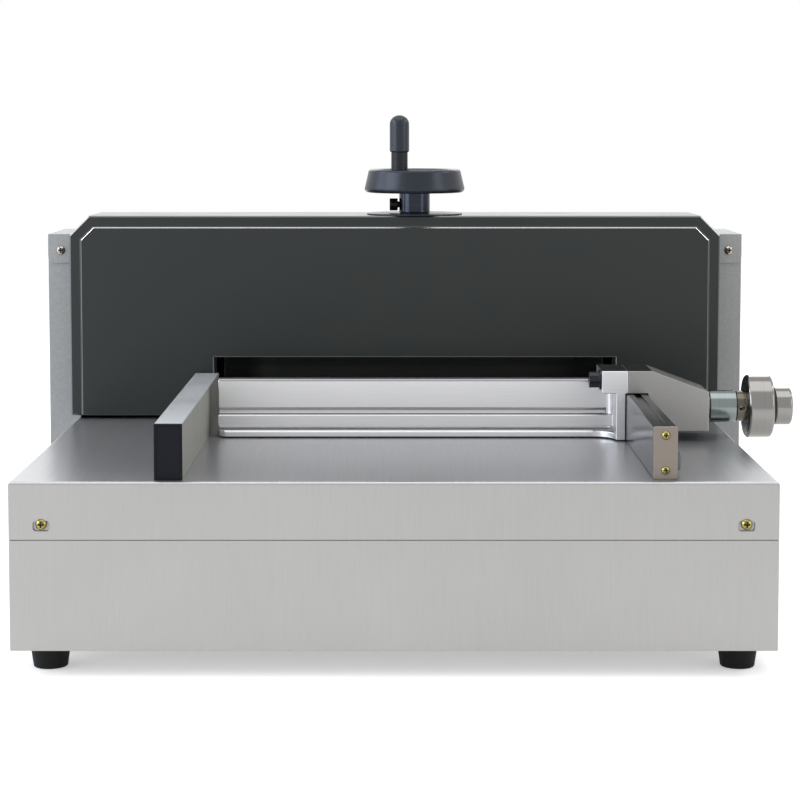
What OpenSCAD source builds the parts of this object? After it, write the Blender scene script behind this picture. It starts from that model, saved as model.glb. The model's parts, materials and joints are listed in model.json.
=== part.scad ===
// Electric guillotine paper cutter with a rear table and a crank-set back gauge.
// Millimetres, +Z up. X runs along the knife, -Y is the back-gauge side, +Y the operator's side.
// Pieces are set out from three datums: the table top (Z 0), the hood's back face (Y 0)
// and the base's mid plane (X 0). placed() then moves the whole machine to its own origin,
// the middle of its footprint at floor level.

/* [Base] */
// Width of the base
base_w = 540; // [530:1:570]
// Length of the table behind the hood
rear_l = 320; // [300:1:360]
// Distance from the hood's back face to the front of the machine
front_l = 300; // [280:1:340]
// Height of the base, from its underside to the table top
base_h = 120; // [114:1:150]
// Depth of the table cover's skirt
skirt_h = 41; // [34:1:50]
// Thickness of folded sheet metal
sheet = 1.5; // [1:0.1:2]
// Thickness of the table plates
table_t = 2; // [1.5:0.1:3]
// Outside bend radius along the table's edges
bend_r = 2.5; // [1:0.1:4]
// Height of the lip inside the skirt that the skirt is screwed to
lip_h = 26; // [16:1:30]
// Height of a rubber foot
foot_h = 19; // [12:1:30]
// Diameter of a foot at the base
foot_d = 30; // [26:0.5:36]
// Diameter of a foot at the floor
foot_tip_d = 24.5; // [20:0.5:26]
// Distance of a foot's centre in from the sides of the base
foot_inset_x = 23; // [20:1:40]
// Distance of a foot's centre in from the ends of the base
foot_inset_y = 35; // [20:1:60]

/* [Casing] */
// Width of the wide casing round the cutting head
casing_w = 594; // [586:1:620]
// Distance of the casing's back flanges in front of the hood's back face
casing_back = 25; // [20:1:32]
// Height of the casing above the table
casing_h = 156; // [153:1:162]
// Depth of the casing's tall part
head_d = 90; // [86:1:110]
// Gap between the casing's lower edge and the underside of the base
casing_lift = 8; // [4:1:14]
// Height of the casing's low front wings above the table
wing_h = 30; // [10:1:50]
// Height of the top cover's back ears
ear_h = 25; // [18:1:35]
// Rounding of an ear's lower outer corner
ear_r = 6; // [2:0.5:8]
// Height of the opening in the front cover above the table
front_opening_h = 62; // [56:1:70]

/* [Hood] */
// Width of the dark hood
hood_w = 550; // [546:1:570]
// Height of the hood's top above the table
hood_h = 172.5; // [166:0.5:185]
// Gap between the hood's lower edge and the table
hood_gap = 3; // [1:0.5:6]
// Depth of the hood's top
hood_d = 80; // [60:1:88]
// Size of the cut-off corners of the hood
hood_chamfer = 16.5; // [8:0.5:24]
// Margin round the raised panel on the hood's back face
panel_inset = 9.3; // [5:0.1:14]
// Height of the raised panel
panel_t = 1; // [0.6:0.1:2]
// Diameter of the disc under the hand wheel
escutcheon_d = 82; // [60:1:90]
// Thickness of that disc
escutcheon_t = 1; // [0.6:0.1:2]

/* [Throat] */
// Width of the cutting throat
throat_w = 341; // [335:1:346]
// Offset of the throat's middle from the base's mid plane
throat_x = 17; // [10:1:20]
// Height of the throat in the hood
throat_h = 52.8; // [51:0.2:60]

/* [Frame] */
// Thickness of a side frame
frame_t = 14; // [12:1:16]
// Gap between the throat's edge and a side frame
frame_gap = 2; // [1:0.5:4]
// Distance of the bed's back face in front of the hood's back face
bed_back = 10; // [6:1:14]
// Depth of the bed and of the top beam
bed_d = 88; // [84:1:94]
// Thickness of the bed
bed_t = 32; // [26:1:38]
// Height of the top beam's underside above the table
beam_z = 120; // [119:1:122]
// Thickness of the top beam
beam_t = 28; // [22:1:30]
// Thickness of a bed support
support_t = 12; // [8:1:16]
// Depth of a bed support
support_d = 38; // [30:1:40]
// Width and depth of the cutting stick
stick_s = 12; // [10:1:14]
// Depth of the cutting stick's worn groove
stick_groove = 1.5; // [1:0.1:3]

/* [Clamp] */
// Depth of the clamp beam
clamp_d = 28; // [24:1:28]
// Height of the clamp beam
clamp_h = 48; // [44:1:49]
// Height of the clamp's face above the table when it is open
clamp_open = 50; // [49:1:50]
// Width of the clamp's guide tongues
tongue_w = 18; // [12:1:20]
// Length of a guide tongue
tongue_l = 5.5; // [3:0.5:8]
// Diameter of the clamp screw's thread
clamp_screw_d = 16; // [14:1:18]
// Diameter of the clamp screw's plain journal
clamp_journal_d = 14; // [10:1:14]
// Height of the clamp nut
clamp_nut_h = 18; // [14:1:18]
// Diameter of the clamp nut's flange
clamp_nut_d = 26; // [22:1:28]
// Thickness of the thrust collar on the clamp screw
collar_t = 2.7; // [2:0.1:3]

/* [Knife] */
// Distance of the knife's flat face in front of the hood's back face
knife_y = 53; // [52:0.5:54]
// Thickness of the knife
knife_t = 8; // [6:0.5:10]
// Height of the knife
knife_h = 62; // [56:1:63]
// Length of the knife
knife_l = 364; // [355:1:370]
// Height of the knife's ground bevel
bevel_h = 16; // [12:1:20]
// Height of the knife's edge above the table when it is raised
knife_open = 54; // [52:0.5:55]
// Thickness of the knife carrier
carrier_t = 26; // [25:0.5:28]
// Height of the knife carrier
carrier_h = 45; // [40:1:48]
// Diameter of a knife bolt
knife_bolt_d = 8; // [6:1:10]
// Number of knife bolts
knife_bolts = 4; // [3:1:6]
// Distance of the outer knife bolts from the knife's ends
bolt_margin = 32; // [20:1:50]

/* [Drive] */
// Distance of a guide rod from the throat's middle
rod_x = 192; // [190:1:193]
// Diameter of a guide rod
rod_d = 14; // [12:0.5:15]
// Outside diameter of a guide bush
bush_d = 20; // [18:0.5:22]
// Distance between a guide rod and the lead screw beside it
lead_gap = 28; // [27:1:32]
// Diameter of a lead screw
lead_d = 12; // [10:0.5:14]
// Outside diameter of a lead nut
lead_nut_d = 20; // [17:0.5:22]
// Outside diameter of a screw bearing
bearing_d = 28; // [22:1:30]
// Thickness of a screw bearing
bearing_t = 12; // [9:1:14]
// Diameter of a belt pulley
pulley_d = 40; // [32:1:40]
// Thickness of a belt pulley
pulley_t = 14; // [10:1:16]
// Thickness of the drive belt
belt_t = 2; // [1:0.5:3]
// Diameter of the motor
motor_d = 90; // [70:1:96]
// Height of the motor
motor_h = 76; // [60:1:80]
// Distance of the motor's axis behind the hood's back face
motor_back = 60; // [50:1:80]
// Diameter of the motor shaft
motor_shaft_d = 12; // [8:1:14]
// Thickness of the motor plate
motor_plate_t = 4; // [3:0.5:6]

/* [Hand wheel] */
// Diameter of the hand wheel at its lower edge
wheel_d = 86; // [80:1:96]
// Diameter of the hand wheel at its upper edge
wheel_top_d = 80; // [72:1:86]
// Thickness of the wheel's rim
wheel_t = 20; // [14:0.5:22]
// Depth of the dish inside the wheel's rim
wheel_dish = 3; // [1:0.5:4]
// Diameter of the wheel's hub
hub_d = 26.5; // [24:0.5:32]
// Length of the hub below the rim
hub_l = 17.4; // [14:0.2:24]
// Head diameter of the hub's set screw
set_screw_d = 10.5; // [6:0.5:11]
// Place of the crank along X from the wheel's axis
crank_x = -13; // [-18:1:18]
// Place of the crank along Y from the wheel's axis
crank_y = -28; // [-30:1:-24]
// Diameter of the crank's shank
shank_d = 14; // [12:0.5:16]
// Length of the shank above the wheel's rim
shank_l = 14.5; // [10:0.5:24]
// Diameter of the crank grip
grip_d = 16.5; // [15:0.5:22]
// Length of the crank grip
grip_l = 31.4; // [24:0.2:45]

/* [Guides] */
// Clear width between the left guide and the right rail
clear_w = 331; // [328:1:336]
// Gap between the guides and the hood's back face
guide_gap = 8; // [5:1:14]
// Width of the left guide
guide_w = 20; // [14:1:26]
// Height of the left guide
guide_h = 40; // [38:0.5:46]
// Length of the left guide
guide_l = 303; // [280:1:305]
// Thickness of the guide's end cap
cap_t = 3; // [2:0.5:5]
// Width of the right rail
rail_w = 17; // [14:0.5:18]
// Height of the right rail
rail_h = 37.5; // [36.5:0.1:38]
// Length of the right rail
rail_l = 300; // [280:1:305]
// Rounding of the rail's upper edges
rail_r = 1.5; // [0.5:0.1:3]
// Thickness of the rail's end plate
end_plate_t = 3; // [2:0.5:5]
// Width of the rack's teeth
rack_w = 4; // [3:0.5:7]
// Height of the rack's lower edge above the table
rack_low = 4.5; // [2:0.5:10]

/* [Back gauge] */
// Distance of the fence's paper face behind the hood's back face
gauge_back = 87; // [80:1:120]
// Height of the fence
fence_h = 45.5; // [40:0.5:50]
// Thickness of the fence's upper plate
fence_t = 10; // [7:0.5:12]
// Distance the fence's rib stands out from its plate
rib_out = 7; // [4:0.5:9]
// Distance the fence's foot stands out from its plate
fence_foot = 14.5; // [10:0.5:18]
// Thickness of the fence's foot
fence_foot_t = 5.7; // [4:0.1:8]
// Height of the rib's lower edge above the table
rib_low = 8.5; // [7:0.5:10]
// Height of the rib
rib_h = 9; // [6:0.5:11]
// Height of the groove above the rib
groove_h = 3.5; // [2:0.5:5]
// Depth of that groove
groove_t = 2.5; // [1:0.5:4]
// Gap between the fence and the left guide
fence_gap = 7; // [5:0.5:15]
// Depth of the end block and the saddle along the rail
saddle_d = 47.8; // [44:0.2:52]
// Distance the saddle stands in front of the paper face
saddle_ahead = 5.3; // [2:0.1:8]
// Height of the saddle above the table
saddle_h = 55.7; // [52:0.1:62]
// Height of the saddle's right side
saddle_low_h = 39; // [38:0.1:46]
// Distance of the saddle's right face from the rail's inner face
saddle_w = 65.5; // [62:0.5:70]
// Width of the saddle's flat top
saddle_flat = 20.5; // [16:0.5:30]
// Height of the saddle's underside above the table
saddle_clear = 8; // [6:0.5:12]
// Radius of the fillet between the fence and the end block's leg
leg_fillet_r = 5; // [2:0.5:7]
// Rounding of the saddle's upright edges
saddle_r = 1; // [1:0.5:5]
// Width of the fence's end block
block_w = 20.5; // [16:0.5:26]
// Thickness of the end block's leg beside the rail
block_leg_t = 7.5; // [5:0.5:10]

/* [Adjusting wheel] */
// Height of the adjusting wheel's axis above the table
axis_h = 25; // [24.5:0.1:25.5]
// Gear module of the rack and pinion
gear_m = 1; // [0.9:0.05:1.05]
// Teeth on the pinion
pinion_teeth = 18; // [16:1:18]
// Thickness taken off each tooth for backlash
backlash = 0.16; // [0.1:0.02:0.3]
// Diameter of the pinion shaft
shaft_d = 12; // [10:0.5:13]
// Diameter of the barrel that carries the shaft
barrel_d = 25.6; // [20:0.2:28]
// Length of the barrel
barrel_l = 21; // [15:0.5:28]
// Length of the neck between the saddle and the barrel
neck_l = 3; // [1:0.5:6]
// Diameter of the adjusting wheel's hub
dial_hub_d = 24.5; // [20:0.5:28]
// Length of that hub
dial_hub_l = 7.5; // [4:0.5:12]
// Diameter of the adjusting wheel's ring
dial_d = 50; // [42:1:50]
// Length of that ring
dial_l = 20.5; // [18:0.5:30]
// Rounding of the turned edges of the ring and the lock knob
ring_r = 2.5; // [0.5:0.1:3]
// Diameter of the lock knob
lock_d = 30; // [24:1:36]
// Length of the lock knob
lock_l = 14.5; // [9:0.5:18]

/* [Guard] */
// Width of the hinged safety guard
guard_w = 400; // [380:1:420]
// Thickness of the guard
guard_t = 4; // [3:0.5:5]
// Height of the guard's hinge above the table
guard_hinge_z = 140; // [130:1:142]
// Distance of the guard's front wall from the casing
guard_d = 135; // [110:1:150]
// Height of the guard's front upper edge above the table
guard_front_h = 95; // [80:1:110]
// Height of the guard's lower edge above the table
guard_low = 4; // [3:1:20]
// Height of the guard's finger grip above the table
guard_grip_z = 40; // [30:1:60]
// Diameter of a hinge pin
hinge_pin_d = 6; // [4:0.5:7]
// Diameter of a hinge knuckle
knuckle_d = 12; // [11:0.5:14]
// Length of a hinge knuckle
knuckle_l = 40; // [30:1:60]
// Thickness of a hinge lug
lug_t = 6; // [4:0.5:10]

/* [Controls] */
// Distance of a cut button from the base's mid plane
button_x = 200; // [160:1:220]
// Depth of the buttons' centres below the table top
button_drop = 56; // [40:1:64]
// Diameter of a cut button's head
button_d = 30; // [24:1:32]
// Diameter of a cut button's plunger
plunger_d = 20; // [14:1:22]
// Travel of a cut button
button_travel = 5; // [3:0.5:7]
// Width of the power rocker
rocker_w = 14; // [10:1:20]
// Radius of the power rocker about its pin
rocker_r = 11; // [9:0.5:13]
// Width of the mains inlet's flange
inlet_w = 50; // [46:1:60]
// Height of the mains inlet's flange
inlet_h = 28; // [26:1:34]
// Distance of the mains inlet behind the front of the machine
inlet_back = 90; // [60:1:120]

/* [Fits] */
// Gap between fitted sheet and machined pieces
seat = 0.3; // [0.2:0.05:0.4]
// Radial clearance of a shaft in its hole
run = 0.05; // [0.02:0.01:0.1]
// Head diameter of a cover screw
screw_head_d = 8; // [6:0.5:9]
// Shank diameter of a cover screw
screw_d = 4; // [3:0.5:4.5]

/* [Hidden] */
$fn = 64;
// Overlap of joined shapes, and how far a cut runs past the face that it opens
eps = 0.01;
past = 1;

// Main planes
base_x = base_w / 2;
casing_x = casing_w / 2;
hood_x = hood_w / 2;
back_y = -rear_l;
under_z = -base_h;
floor_z = under_z + sheet;
low_z = under_z + casing_lift;
head_front = casing_back + head_d;
inner_x = casing_x - sheet - seat;
top_cover_z = casing_h - sheet;
seam_z = -skirt_h - seat;

// Cutting head
frame_x = throat_w / 2 + frame_gap;
lead_x = rod_x + lead_gap;
bed_half = lead_x + bearing_d / 2 + 5;
bed_front = bed_back + bed_d;
knife_gap = 0.5;
frame_front = knife_y - knife_gap;
clamp_front = frame_front - knife_gap;
clamp_back = clamp_front - clamp_d;
clamp_y = clamp_front - clamp_d / 2;
clamp_top = clamp_open + clamp_h;
knife_front = knife_y + knife_t;
knife_top = knife_open + knife_h;
carrier_z = knife_top + 1 - carrier_h;
carrier_front = knife_front + carrier_t;
column_y = knife_front + carrier_t / 2;
columns = [-1, 1];

// Belt drive under the bed
pulley_z = floor_z + 6;
motor_plate_z = pulley_z + pulley_t + 6;
belt_clear = 0.3;
belt_r = pulley_d / 2 + belt_clear;
motor_y = -motor_back;
belt_points = [[throat_x - lead_x, column_y], [throat_x + lead_x, column_y], [throat_x, motor_y]];

// Hand wheel
wheel_z = hood_h + escutcheon_t + seat;
rim_z = wheel_z + hub_l;
rim_top = rim_z + wheel_t;
shank_top = rim_top + shank_l;
spindle_d = shank_d - 6;
wheel_bore_l = 8;
journal_top = rim_top - wheel_dish - 3;

// Guides and back gauge
guide_x = throat_x - clear_w / 2;
rail_x = throat_x + clear_w / 2;
rail_right = rail_x + rail_w;
guide_end = -guide_gap;
gauge_y = -gauge_back;
saddle_front = gauge_y + saddle_ahead;
saddle_back = saddle_front - saddle_d;
axis_y = (saddle_front + saddle_back) / 2;
saddle_left = rail_x + 1.5;
saddle_right = rail_x + saddle_w;
rack_right = rail_right + rack_w;
cheek_x = rack_right + 0.6;
neck_end = saddle_right + neck_l;
barrel_end = neck_end + barrel_l;
dial_x = barrel_end + seat;
ring_x = dial_x + dial_hub_l;
ring_end = ring_x + dial_l;
lock_x = ring_end + 1.5;
lock_end = lock_x + lock_l;
neck_d = shaft_d + 8;
lock_pin_d = shaft_d - 4;

// Rack and pinion
pitch_r = gear_m * pinion_teeth / 2;
pressure = 20;
base_r = pitch_r * cos(pressure);
tip_r = pitch_r + gear_m;
root_r = pitch_r - 1.25 * gear_m;
pitch_z = axis_h - pitch_r;
rack_pitch = PI * gear_m;
flank_steps = 4;

// Guard
hinge_y = head_front + knuckle_d / 2 + 2;
guard_front = head_front + guard_d;
hinge_inset = 60;
hinge_x = guard_w / 2 - hinge_inset;

// Controls
button_z = -button_drop;
bezel_t = 4;
bezel_d = button_d + 4;
button_out = bezel_t + button_travel + 6.6;
inlet_y = front_l - inlet_back;
inlet_z = (low_z - table_t) / 2;

// The machine's own origin lies at floor level in the middle of its footprint
part_origin = [
    -(lock_end - casing_x) / 2,
    -(front_l + button_out + back_y) / 2,
    base_h + foot_h];

module placed()
    translate(part_origin)
        children();

// Box between two corners
module slab(low, high)
    translate(low)
        cube(high - low);

// Cylinders along each axis, from one coordinate to another
module rod_z(d, z0, z1)
    translate([0, 0, z0])
        cylinder(d = d, h = z1 - z0);

module along_x(x0)
    translate([x0, 0, 0])
        rotate([90, 0, 90])
            children();

module rod_x(d, x0, x1)
    along_x(x0)
        cylinder(d = d, h = x1 - x0);

module rod_y(d, y0, y1)
    translate([0, y0, 0])
        rotate([-90, 0, 0])
            cylinder(d = d, h = y1 - y0);

// An outline drawn in Y and Z, drawn out along X
module along_x_outline(x0, x1)
    along_x(x0)
        linear_extrude(x1 - x0)
            children();

// An outline drawn in X and Z, drawn out along Y
module along_y_outline(y0, y1)
    translate([0, y1, 0])
        rotate([90, 0, 0])
            linear_extrude(y1 - y0)
                children();

module both_sides() {
    children();
    mirror([1, 0, 0])
        children();
}

// Rectangle with all corners rounded, from one corner to the other
module round_rect(low, high, r) {
    translate([low[0] + r, low[1]])
        square([high[0] - low[0] - 2 * r, high[1] - low[1]]);
    translate([low[0], low[1] + r])
        square([high[0] - low[0], high[1] - low[1] - 2 * r]);
    for (x = [low[0] + r, high[0] - r])
        for (y = [low[1] + r, high[1] - r])
            translate([x, y])
                circle(r);
}

// Pan-head cross-recess screw that points along +Y, with its head's seat at the origin
module panhead(head_d, shank_d, shank_l) {
    head_t = head_d * 0.3;
    recess_t = head_t * 0.6;
    slot_w = head_d * 0.14;
    slot_l = head_d * 0.55;
    dome_r = (head_d * head_d / 4 + head_t * head_t) / (2 * head_t);
    difference() {
        intersection() {
            rod_y(head_d, -head_t, 0);
            translate([0, dome_r - head_t, 0])
                sphere(dome_r);
        }
        slab([-slot_l / 2, -head_t - eps, -slot_w / 2], [slot_l / 2, recess_t - head_t, slot_w / 2]);
        slab([-slot_w / 2, -head_t - eps, -slot_l / 2], [slot_w / 2, recess_t - head_t, slot_l / 2]);
    }
    rod_y(shank_d, -eps, shank_l);
}

skirt_screw_x = base_x - foot_inset_x;
skirt_screw_z = -skirt_h + 11;
ear_screw_x = casing_x - (casing_x - hood_x) / 2;
ear_screw_z = casing_h - 14;
rail_screw_d = screw_head_d * 0.8;
rail_screw_zs = [rail_h * 0.18, rail_h * 0.84];
screw_l = 8;
journal_room = 4;
slot_w = screw_head_d + 3.5;
slot_h = screw_head_d - 1;
slot_drop = 1.2;

// Base
module base_housing()
    color("#b3b5b4")
        placed()
            difference() {
                union() {
                    slab([-base_x, back_y, under_z], [base_x, front_l - sheet - seat, floor_z]);
                    slab([-base_x, back_y, under_z], [base_x, back_y + sheet, seam_z]);
                    both_sides()
                        slab([base_x - sheet, back_y, under_z], [base_x, front_l - sheet - seat, seam_z]);
                    base_lip();
                }
                for (side = columns)
                    translate([side * skirt_screw_x, back_y, skirt_screw_z])
                        rod_y(screw_d + 2 * run, 0, 3 * sheet);
            }

// Upturned lip inside the skirt, joggled in by one sheet
module base_lip() {
    lip_in = sheet + seat;
    lip_x = base_x - lip_in;
    lip_low = seam_z - sheet;
    lip_top = seam_z + lip_h;
    slab([-base_x, back_y, lip_low], [base_x, back_y + lip_in + sheet, seam_z]);
    slab([-lip_x, back_y + lip_in, lip_low], [lip_x, back_y + lip_in + sheet, lip_top]);
    both_sides() {
        slab([lip_x - sheet, back_y + lip_in, lip_low], [base_x, casing_back - seat, seam_z]);
        slab([lip_x - sheet, back_y + lip_in, lip_low], [lip_x, casing_back - seat, lip_top]);
    }
}

module rear_table_cover()
    color("#b8bab9")
        placed()
            difference() {
                intersection() {
                    along_x_outline(-base_x, base_x)
                        difference() {
                            translate([back_y, -skirt_h])
                                square([casing_back - seat - back_y, skirt_h]);
                            edge_cut([back_y, 0], [1, -1]);
                        }
                    along_y_outline(back_y, casing_back)
                        difference() {
                            translate([-base_x, -skirt_h])
                                square([base_w, skirt_h]);
                            edge_cut([-base_x, 0], [1, -1]);
                            edge_cut([base_x, 0], [-1, -1]);
                        }
                }
                slab([sheet - base_x, back_y + sheet, -skirt_h - past],
                    [base_x - sheet, casing_back, -table_t]);
                slab([sheet - base_x, bed_back - seat, -table_t - past],
                    [base_x - sheet, casing_back, past]);
                for (side = columns)
                    translate([side * skirt_screw_x, 0, skirt_screw_z - slot_drop])
                        along_y_outline(back_y - past, back_y + sheet + eps)
                            round_rect([-slot_w / 2, -slot_h / 2], [slot_w / 2, slot_h / 2], slot_h * 0.3);
            }

// What a bend radius takes off a square corner
module edge_cut(corner, inward)
    translate(corner)
        difference() {
            translate([min(0, inward[0] * bend_r), min(0, inward[1] * bend_r)])
                square(bend_r);
            translate(inward * bend_r)
                circle(bend_r);
        }

module rubber_feet()
    color("#1c1c1d")
        placed()
            for (x = [foot_inset_x - base_x, base_x - foot_inset_x])
                for (y = [back_y + foot_inset_y, front_l - foot_inset_y])
                    translate([x, y, under_z - foot_h])
                        difference() {
                            cylinder(d1 = foot_tip_d, d2 = foot_d, h = foot_h);
                            translate([0, 0, -past])
                                cylinder(d = foot_tip_d / 2, h = foot_h / 4 + past);
                        }

// Skirt screws, ear screws and the rail's end plate screws
module panhead_screws()
    color("#c3a24a")
        placed() {
            for (side = columns) {
                translate([side * skirt_screw_x, back_y, skirt_screw_z])
                    panhead(screw_head_d, screw_d, screw_l);
                translate([side * ear_screw_x, casing_back - sheet, ear_screw_z])
                    panhead(screw_head_d, screw_d, screw_l);
            }
            for (z = rail_screw_zs)
                translate([rail_x + rail_w / 2, guide_end - rail_l - end_plate_t, z])
                    panhead(rail_screw_d, screw_d, screw_l);
        }

// Casing
module left_side_panel()
    color("#8f9291")
        placed()
            mirror([1, 0, 0])
                side_panel(true);

module right_side_panel()
    color("#8f9291")
        placed()
            side_panel(false);

// Side panel with a back flange and a bottom flange that reach in to the base
module side_panel(with_inlet)
    difference() {
        union() {
            along_x_outline(casing_x - sheet, casing_x)
                polygon([
                    [casing_back, low_z], [casing_back, top_cover_z], [head_front, top_cover_z],
                    [head_front, wing_h], [head_front + wing_h, 0], [front_l, 0], [front_l, low_z]]);
            slab([base_x + seat, casing_back, low_z], [casing_x, casing_back + sheet, top_cover_z]);
            slab([base_x + seat, casing_back, low_z], [casing_x, front_l - sheet - seat, low_z + sheet]);
        }
        translate([ear_screw_x, casing_back, ear_screw_z])
            rod_y(screw_d + 2 * run, -past, sheet + past);
        if (with_inlet)
            slab([casing_x - sheet - past, inlet_y - inlet_hole[0] / 2, inlet_z - inlet_hole[1] / 2],
                [casing_x + past, inlet_y + inlet_hole[0] / 2, inlet_z + inlet_hole[1] / 2]);
    }

module head_top_cover()
    color("#959897")
        placed()
            difference() {
                union() {
                    slab([-casing_x, casing_back - sheet, top_cover_z], [casing_x, head_front, casing_h]);
                    both_sides()
                        along_y_outline(casing_back - sheet, casing_back)
                            ear_outline();
                }
                slab([-hood_x - seat, casing_back - sheet - past, top_cover_z - past],
                    [hood_x + seat, casing_back + sheet, casing_h + past]);
                translate([throat_x, clamp_y, 0])
                    rod_z(clamp_journal_d + 2 * journal_room, top_cover_z - past, casing_h + past);
                for (side = columns)
                    translate([side * ear_screw_x, casing_back, ear_screw_z])
                        rod_y(screw_d + 2 * run, -sheet - past, past);
            }

module ear_outline()
    difference() {
        translate([hood_x + seat, casing_h - ear_h])
            square([casing_x - hood_x - seat, ear_h]);
        translate([casing_x, casing_h - ear_h])
            difference() {
                translate([-ear_r, 0])
                    square(ear_r);
                translate([-ear_r, ear_r])
                    circle(ear_r);
            }
    }

// Hood outline in X and Z, drawn in by a margin all round its top and sides
module hood_outline(margin, low) {
    x = hood_x - margin;
    top = hood_h - margin;
    cut = hood_chamfer - margin * (2 - sqrt(2));
    polygon([[-x, low], [-x, top - cut], [cut - x, top], [x - cut, top], [x, top - cut], [x, low]]);
}

module rear_hood()
    color("#3c4041")
        placed()
            difference() {
                union() {
                    along_y_outline(0, hood_d)
                        hood_outline(0, hood_gap);
                    along_y_outline(-panel_t, eps)
                        hood_outline(panel_inset, hood_gap);
                }
                along_y_outline(sheet, hood_d - sheet)
                    hood_outline(sheet, -past);
                slab([-casing_x, casing_back, -past], [casing_x, hood_d + past, casing_h]);
                slab([throat_x - throat_w / 2, -panel_t - past, 0],
                    [throat_x + throat_w / 2, sheet + past, throat_h]);
                translate([throat_x, clamp_y, 0])
                    rod_z(clamp_journal_d + 2 * journal_room, hood_h - sheet - past, hood_h + past);
            }

module wheel_escutcheon()
    color("#232526")
        placed()
            translate([throat_x, clamp_y, 0])
                difference() {
                    rod_z(escutcheon_d, hood_h, hood_h + escutcheon_t);
                    rod_z(clamp_journal_d + 2, hood_h - past, hood_h + escutcheon_t + past);
                }

module head_front_cover()
    color("#8f9291")
        placed()
            difference() {
                slab([-inner_x, head_front - sheet, seat], [inner_x, head_front, top_cover_z]);
                slab([throat_x - throat_w / 2, head_front - sheet - past, 0],
                    [throat_x + throat_w / 2, head_front + past, front_opening_h]);
            }

module front_table()
    color("#b8bab9")
        placed()
            slab([-inner_x, bed_front + seat, -table_t], [inner_x, front_l, 0]);

module front_apron()
    color("#8f9291")
        placed()
            difference() {
                slab([-inner_x, front_l - sheet, low_z], [inner_x, front_l, -table_t]);
                for (side = columns)
                    translate([side * button_x, front_l, button_z])
                        rod_y(plunger_d + 4, -sheet - past, past);
                slab([-rocker_hole[0] / 2, front_l - sheet - past, button_z - rocker_hole[1] / 2],
                    [rocker_hole[0] / 2, front_l + past, button_z + rocker_hole[1] / 2]);
            }

// Cutting head
module bed_supports()
    color("#5d6062")
        placed()
            translate([throat_x, 0, 0])
                difference() {
                    union() {
                        both_sides()
                            slab([bed_half - support_t, bed_back, floor_z],
                                [bed_half, bed_back + support_d, -bed_t]);
                        slab([-bed_half, motor_y - motor_d / 2 - 8, motor_plate_z],
                            [bed_half, bed_back + support_d, motor_plate_z + motor_plate_t]);
                    }
                    translate([0, motor_y, 0])
                        rod_z(motor_shaft_d + 6, motor_plate_z - past, motor_z + past);
                }

stick_l = knife_l + 6;
rod_seat = 18;

module bed_beam()
    color("#8b8f92")
        placed()
            translate([throat_x, 0, 0])
                difference() {
                    slab([-bed_half, bed_back, -bed_t], [bed_half, bed_front, 0]);
                    slab([-stick_l / 2 - seat, knife_y - stick_s / 2 - seat, -stick_s - seat],
                        [stick_l / 2 + seat, knife_y + stick_s / 2 + seat, past]);
                    for (side = columns) {
                        translate([side * rod_x, column_y, 0])
                            rod_z(rod_d + 2 * run, -rod_seat, past);
                        translate([side * lead_x, column_y, 0]) {
                            rod_z(bearing_d + 2 * run, -bed_t - past, bearing_t - bed_t);
                            rod_z(lead_d + 2, -bed_t, past);
                        }
                    }
                }

module left_side_frame()
    color("#83878a")
        placed()
            translate([throat_x, 0, 0])
                mirror([1, 0, 0])
                    side_frame();

module right_side_frame()
    color("#83878a")
        placed()
            translate([throat_x, 0, 0])
                side_frame();

// Upright plate with a groove for the clamp's tongue
module side_frame()
    difference() {
        slab([frame_x, bed_back, 0], [frame_x + frame_t, frame_front, beam_z]);
        slab([frame_x - past, clamp_y - tongue_w / 2 - seat, -past],
            [frame_x + tongue_l + 2 * seat, clamp_y + tongue_w / 2 + seat, beam_z + past]);
    }

module top_beam()
    color("#83878a")
        placed()
            translate([throat_x, 0, 0])
                difference() {
                    slab([-bed_half, bed_back, beam_z], [bed_half, bed_front, beam_z + beam_t]);
                    translate([0, clamp_y, 0])
                        rod_z(clamp_journal_d + 2 * run, beam_z - past, beam_z + beam_t + past);
                    for (side = columns) {
                        translate([side * rod_x, column_y, 0])
                            rod_z(rod_d + 2 * run, beam_z - past, beam_z + rod_seat);
                        translate([side * lead_x, column_y, 0]) {
                            rod_z(bearing_d + 2 * run, beam_z - past, beam_z + bearing_t);
                            rod_z(lead_d + 2, beam_z, beam_z + rod_seat + past);
                        }
                    }
                }

// Plastic strip that the knife closes on, with a V groove worn along it
module cutting_stick()
    color("#b5382e")
        placed()
            along_x_outline(throat_x - stick_l / 2, throat_x + stick_l / 2)
                difference() {
                    translate([knife_y - stick_s / 2, -stick_s])
                        square([stick_s, stick_s - seat]);
                    polygon([
                        [knife_y - stick_groove, 0], [knife_y, -stick_groove - seat],
                        [knife_y + stick_groove, 0]]);
                }

// Clamp
module clamp_beam()
    color("#6f7376")
        placed()
            translate([throat_x, 0, 0])
                difference() {
                    union() {
                        slab([seat - frame_x, clamp_back, clamp_open],
                            [frame_x - seat, clamp_front, clamp_top]);
                        slab([-frame_x - tongue_l, clamp_y - tongue_w / 2, clamp_open],
                            [frame_x + tongue_l, clamp_y + tongue_w / 2, clamp_top]);
                    }
                    translate([0, clamp_y, 0])
                        rod_z(clamp_screw_d + 1, clamp_open - past, clamp_top + past);
                }

nut_lip = 10;
nut_flange_w = clamp_nut_d + 2 * nut_lip;
nut_flange_t = 5;

module clamp_nut()
    color("#b8974f")
        placed()
            translate([throat_x, clamp_y, 0])
                difference() {
                    union() {
                        rod_z(clamp_nut_d, clamp_top, clamp_top + clamp_nut_h);
                        slab([-nut_flange_w / 2, 1 - clamp_d / 2, clamp_top],
                            [nut_flange_w / 2, clamp_d / 2 - 1, clamp_top + nut_flange_t]);
                    }
                    rod_z(clamp_screw_d + 2 * run, clamp_top - past, clamp_top + clamp_nut_h + past);
                }

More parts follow.
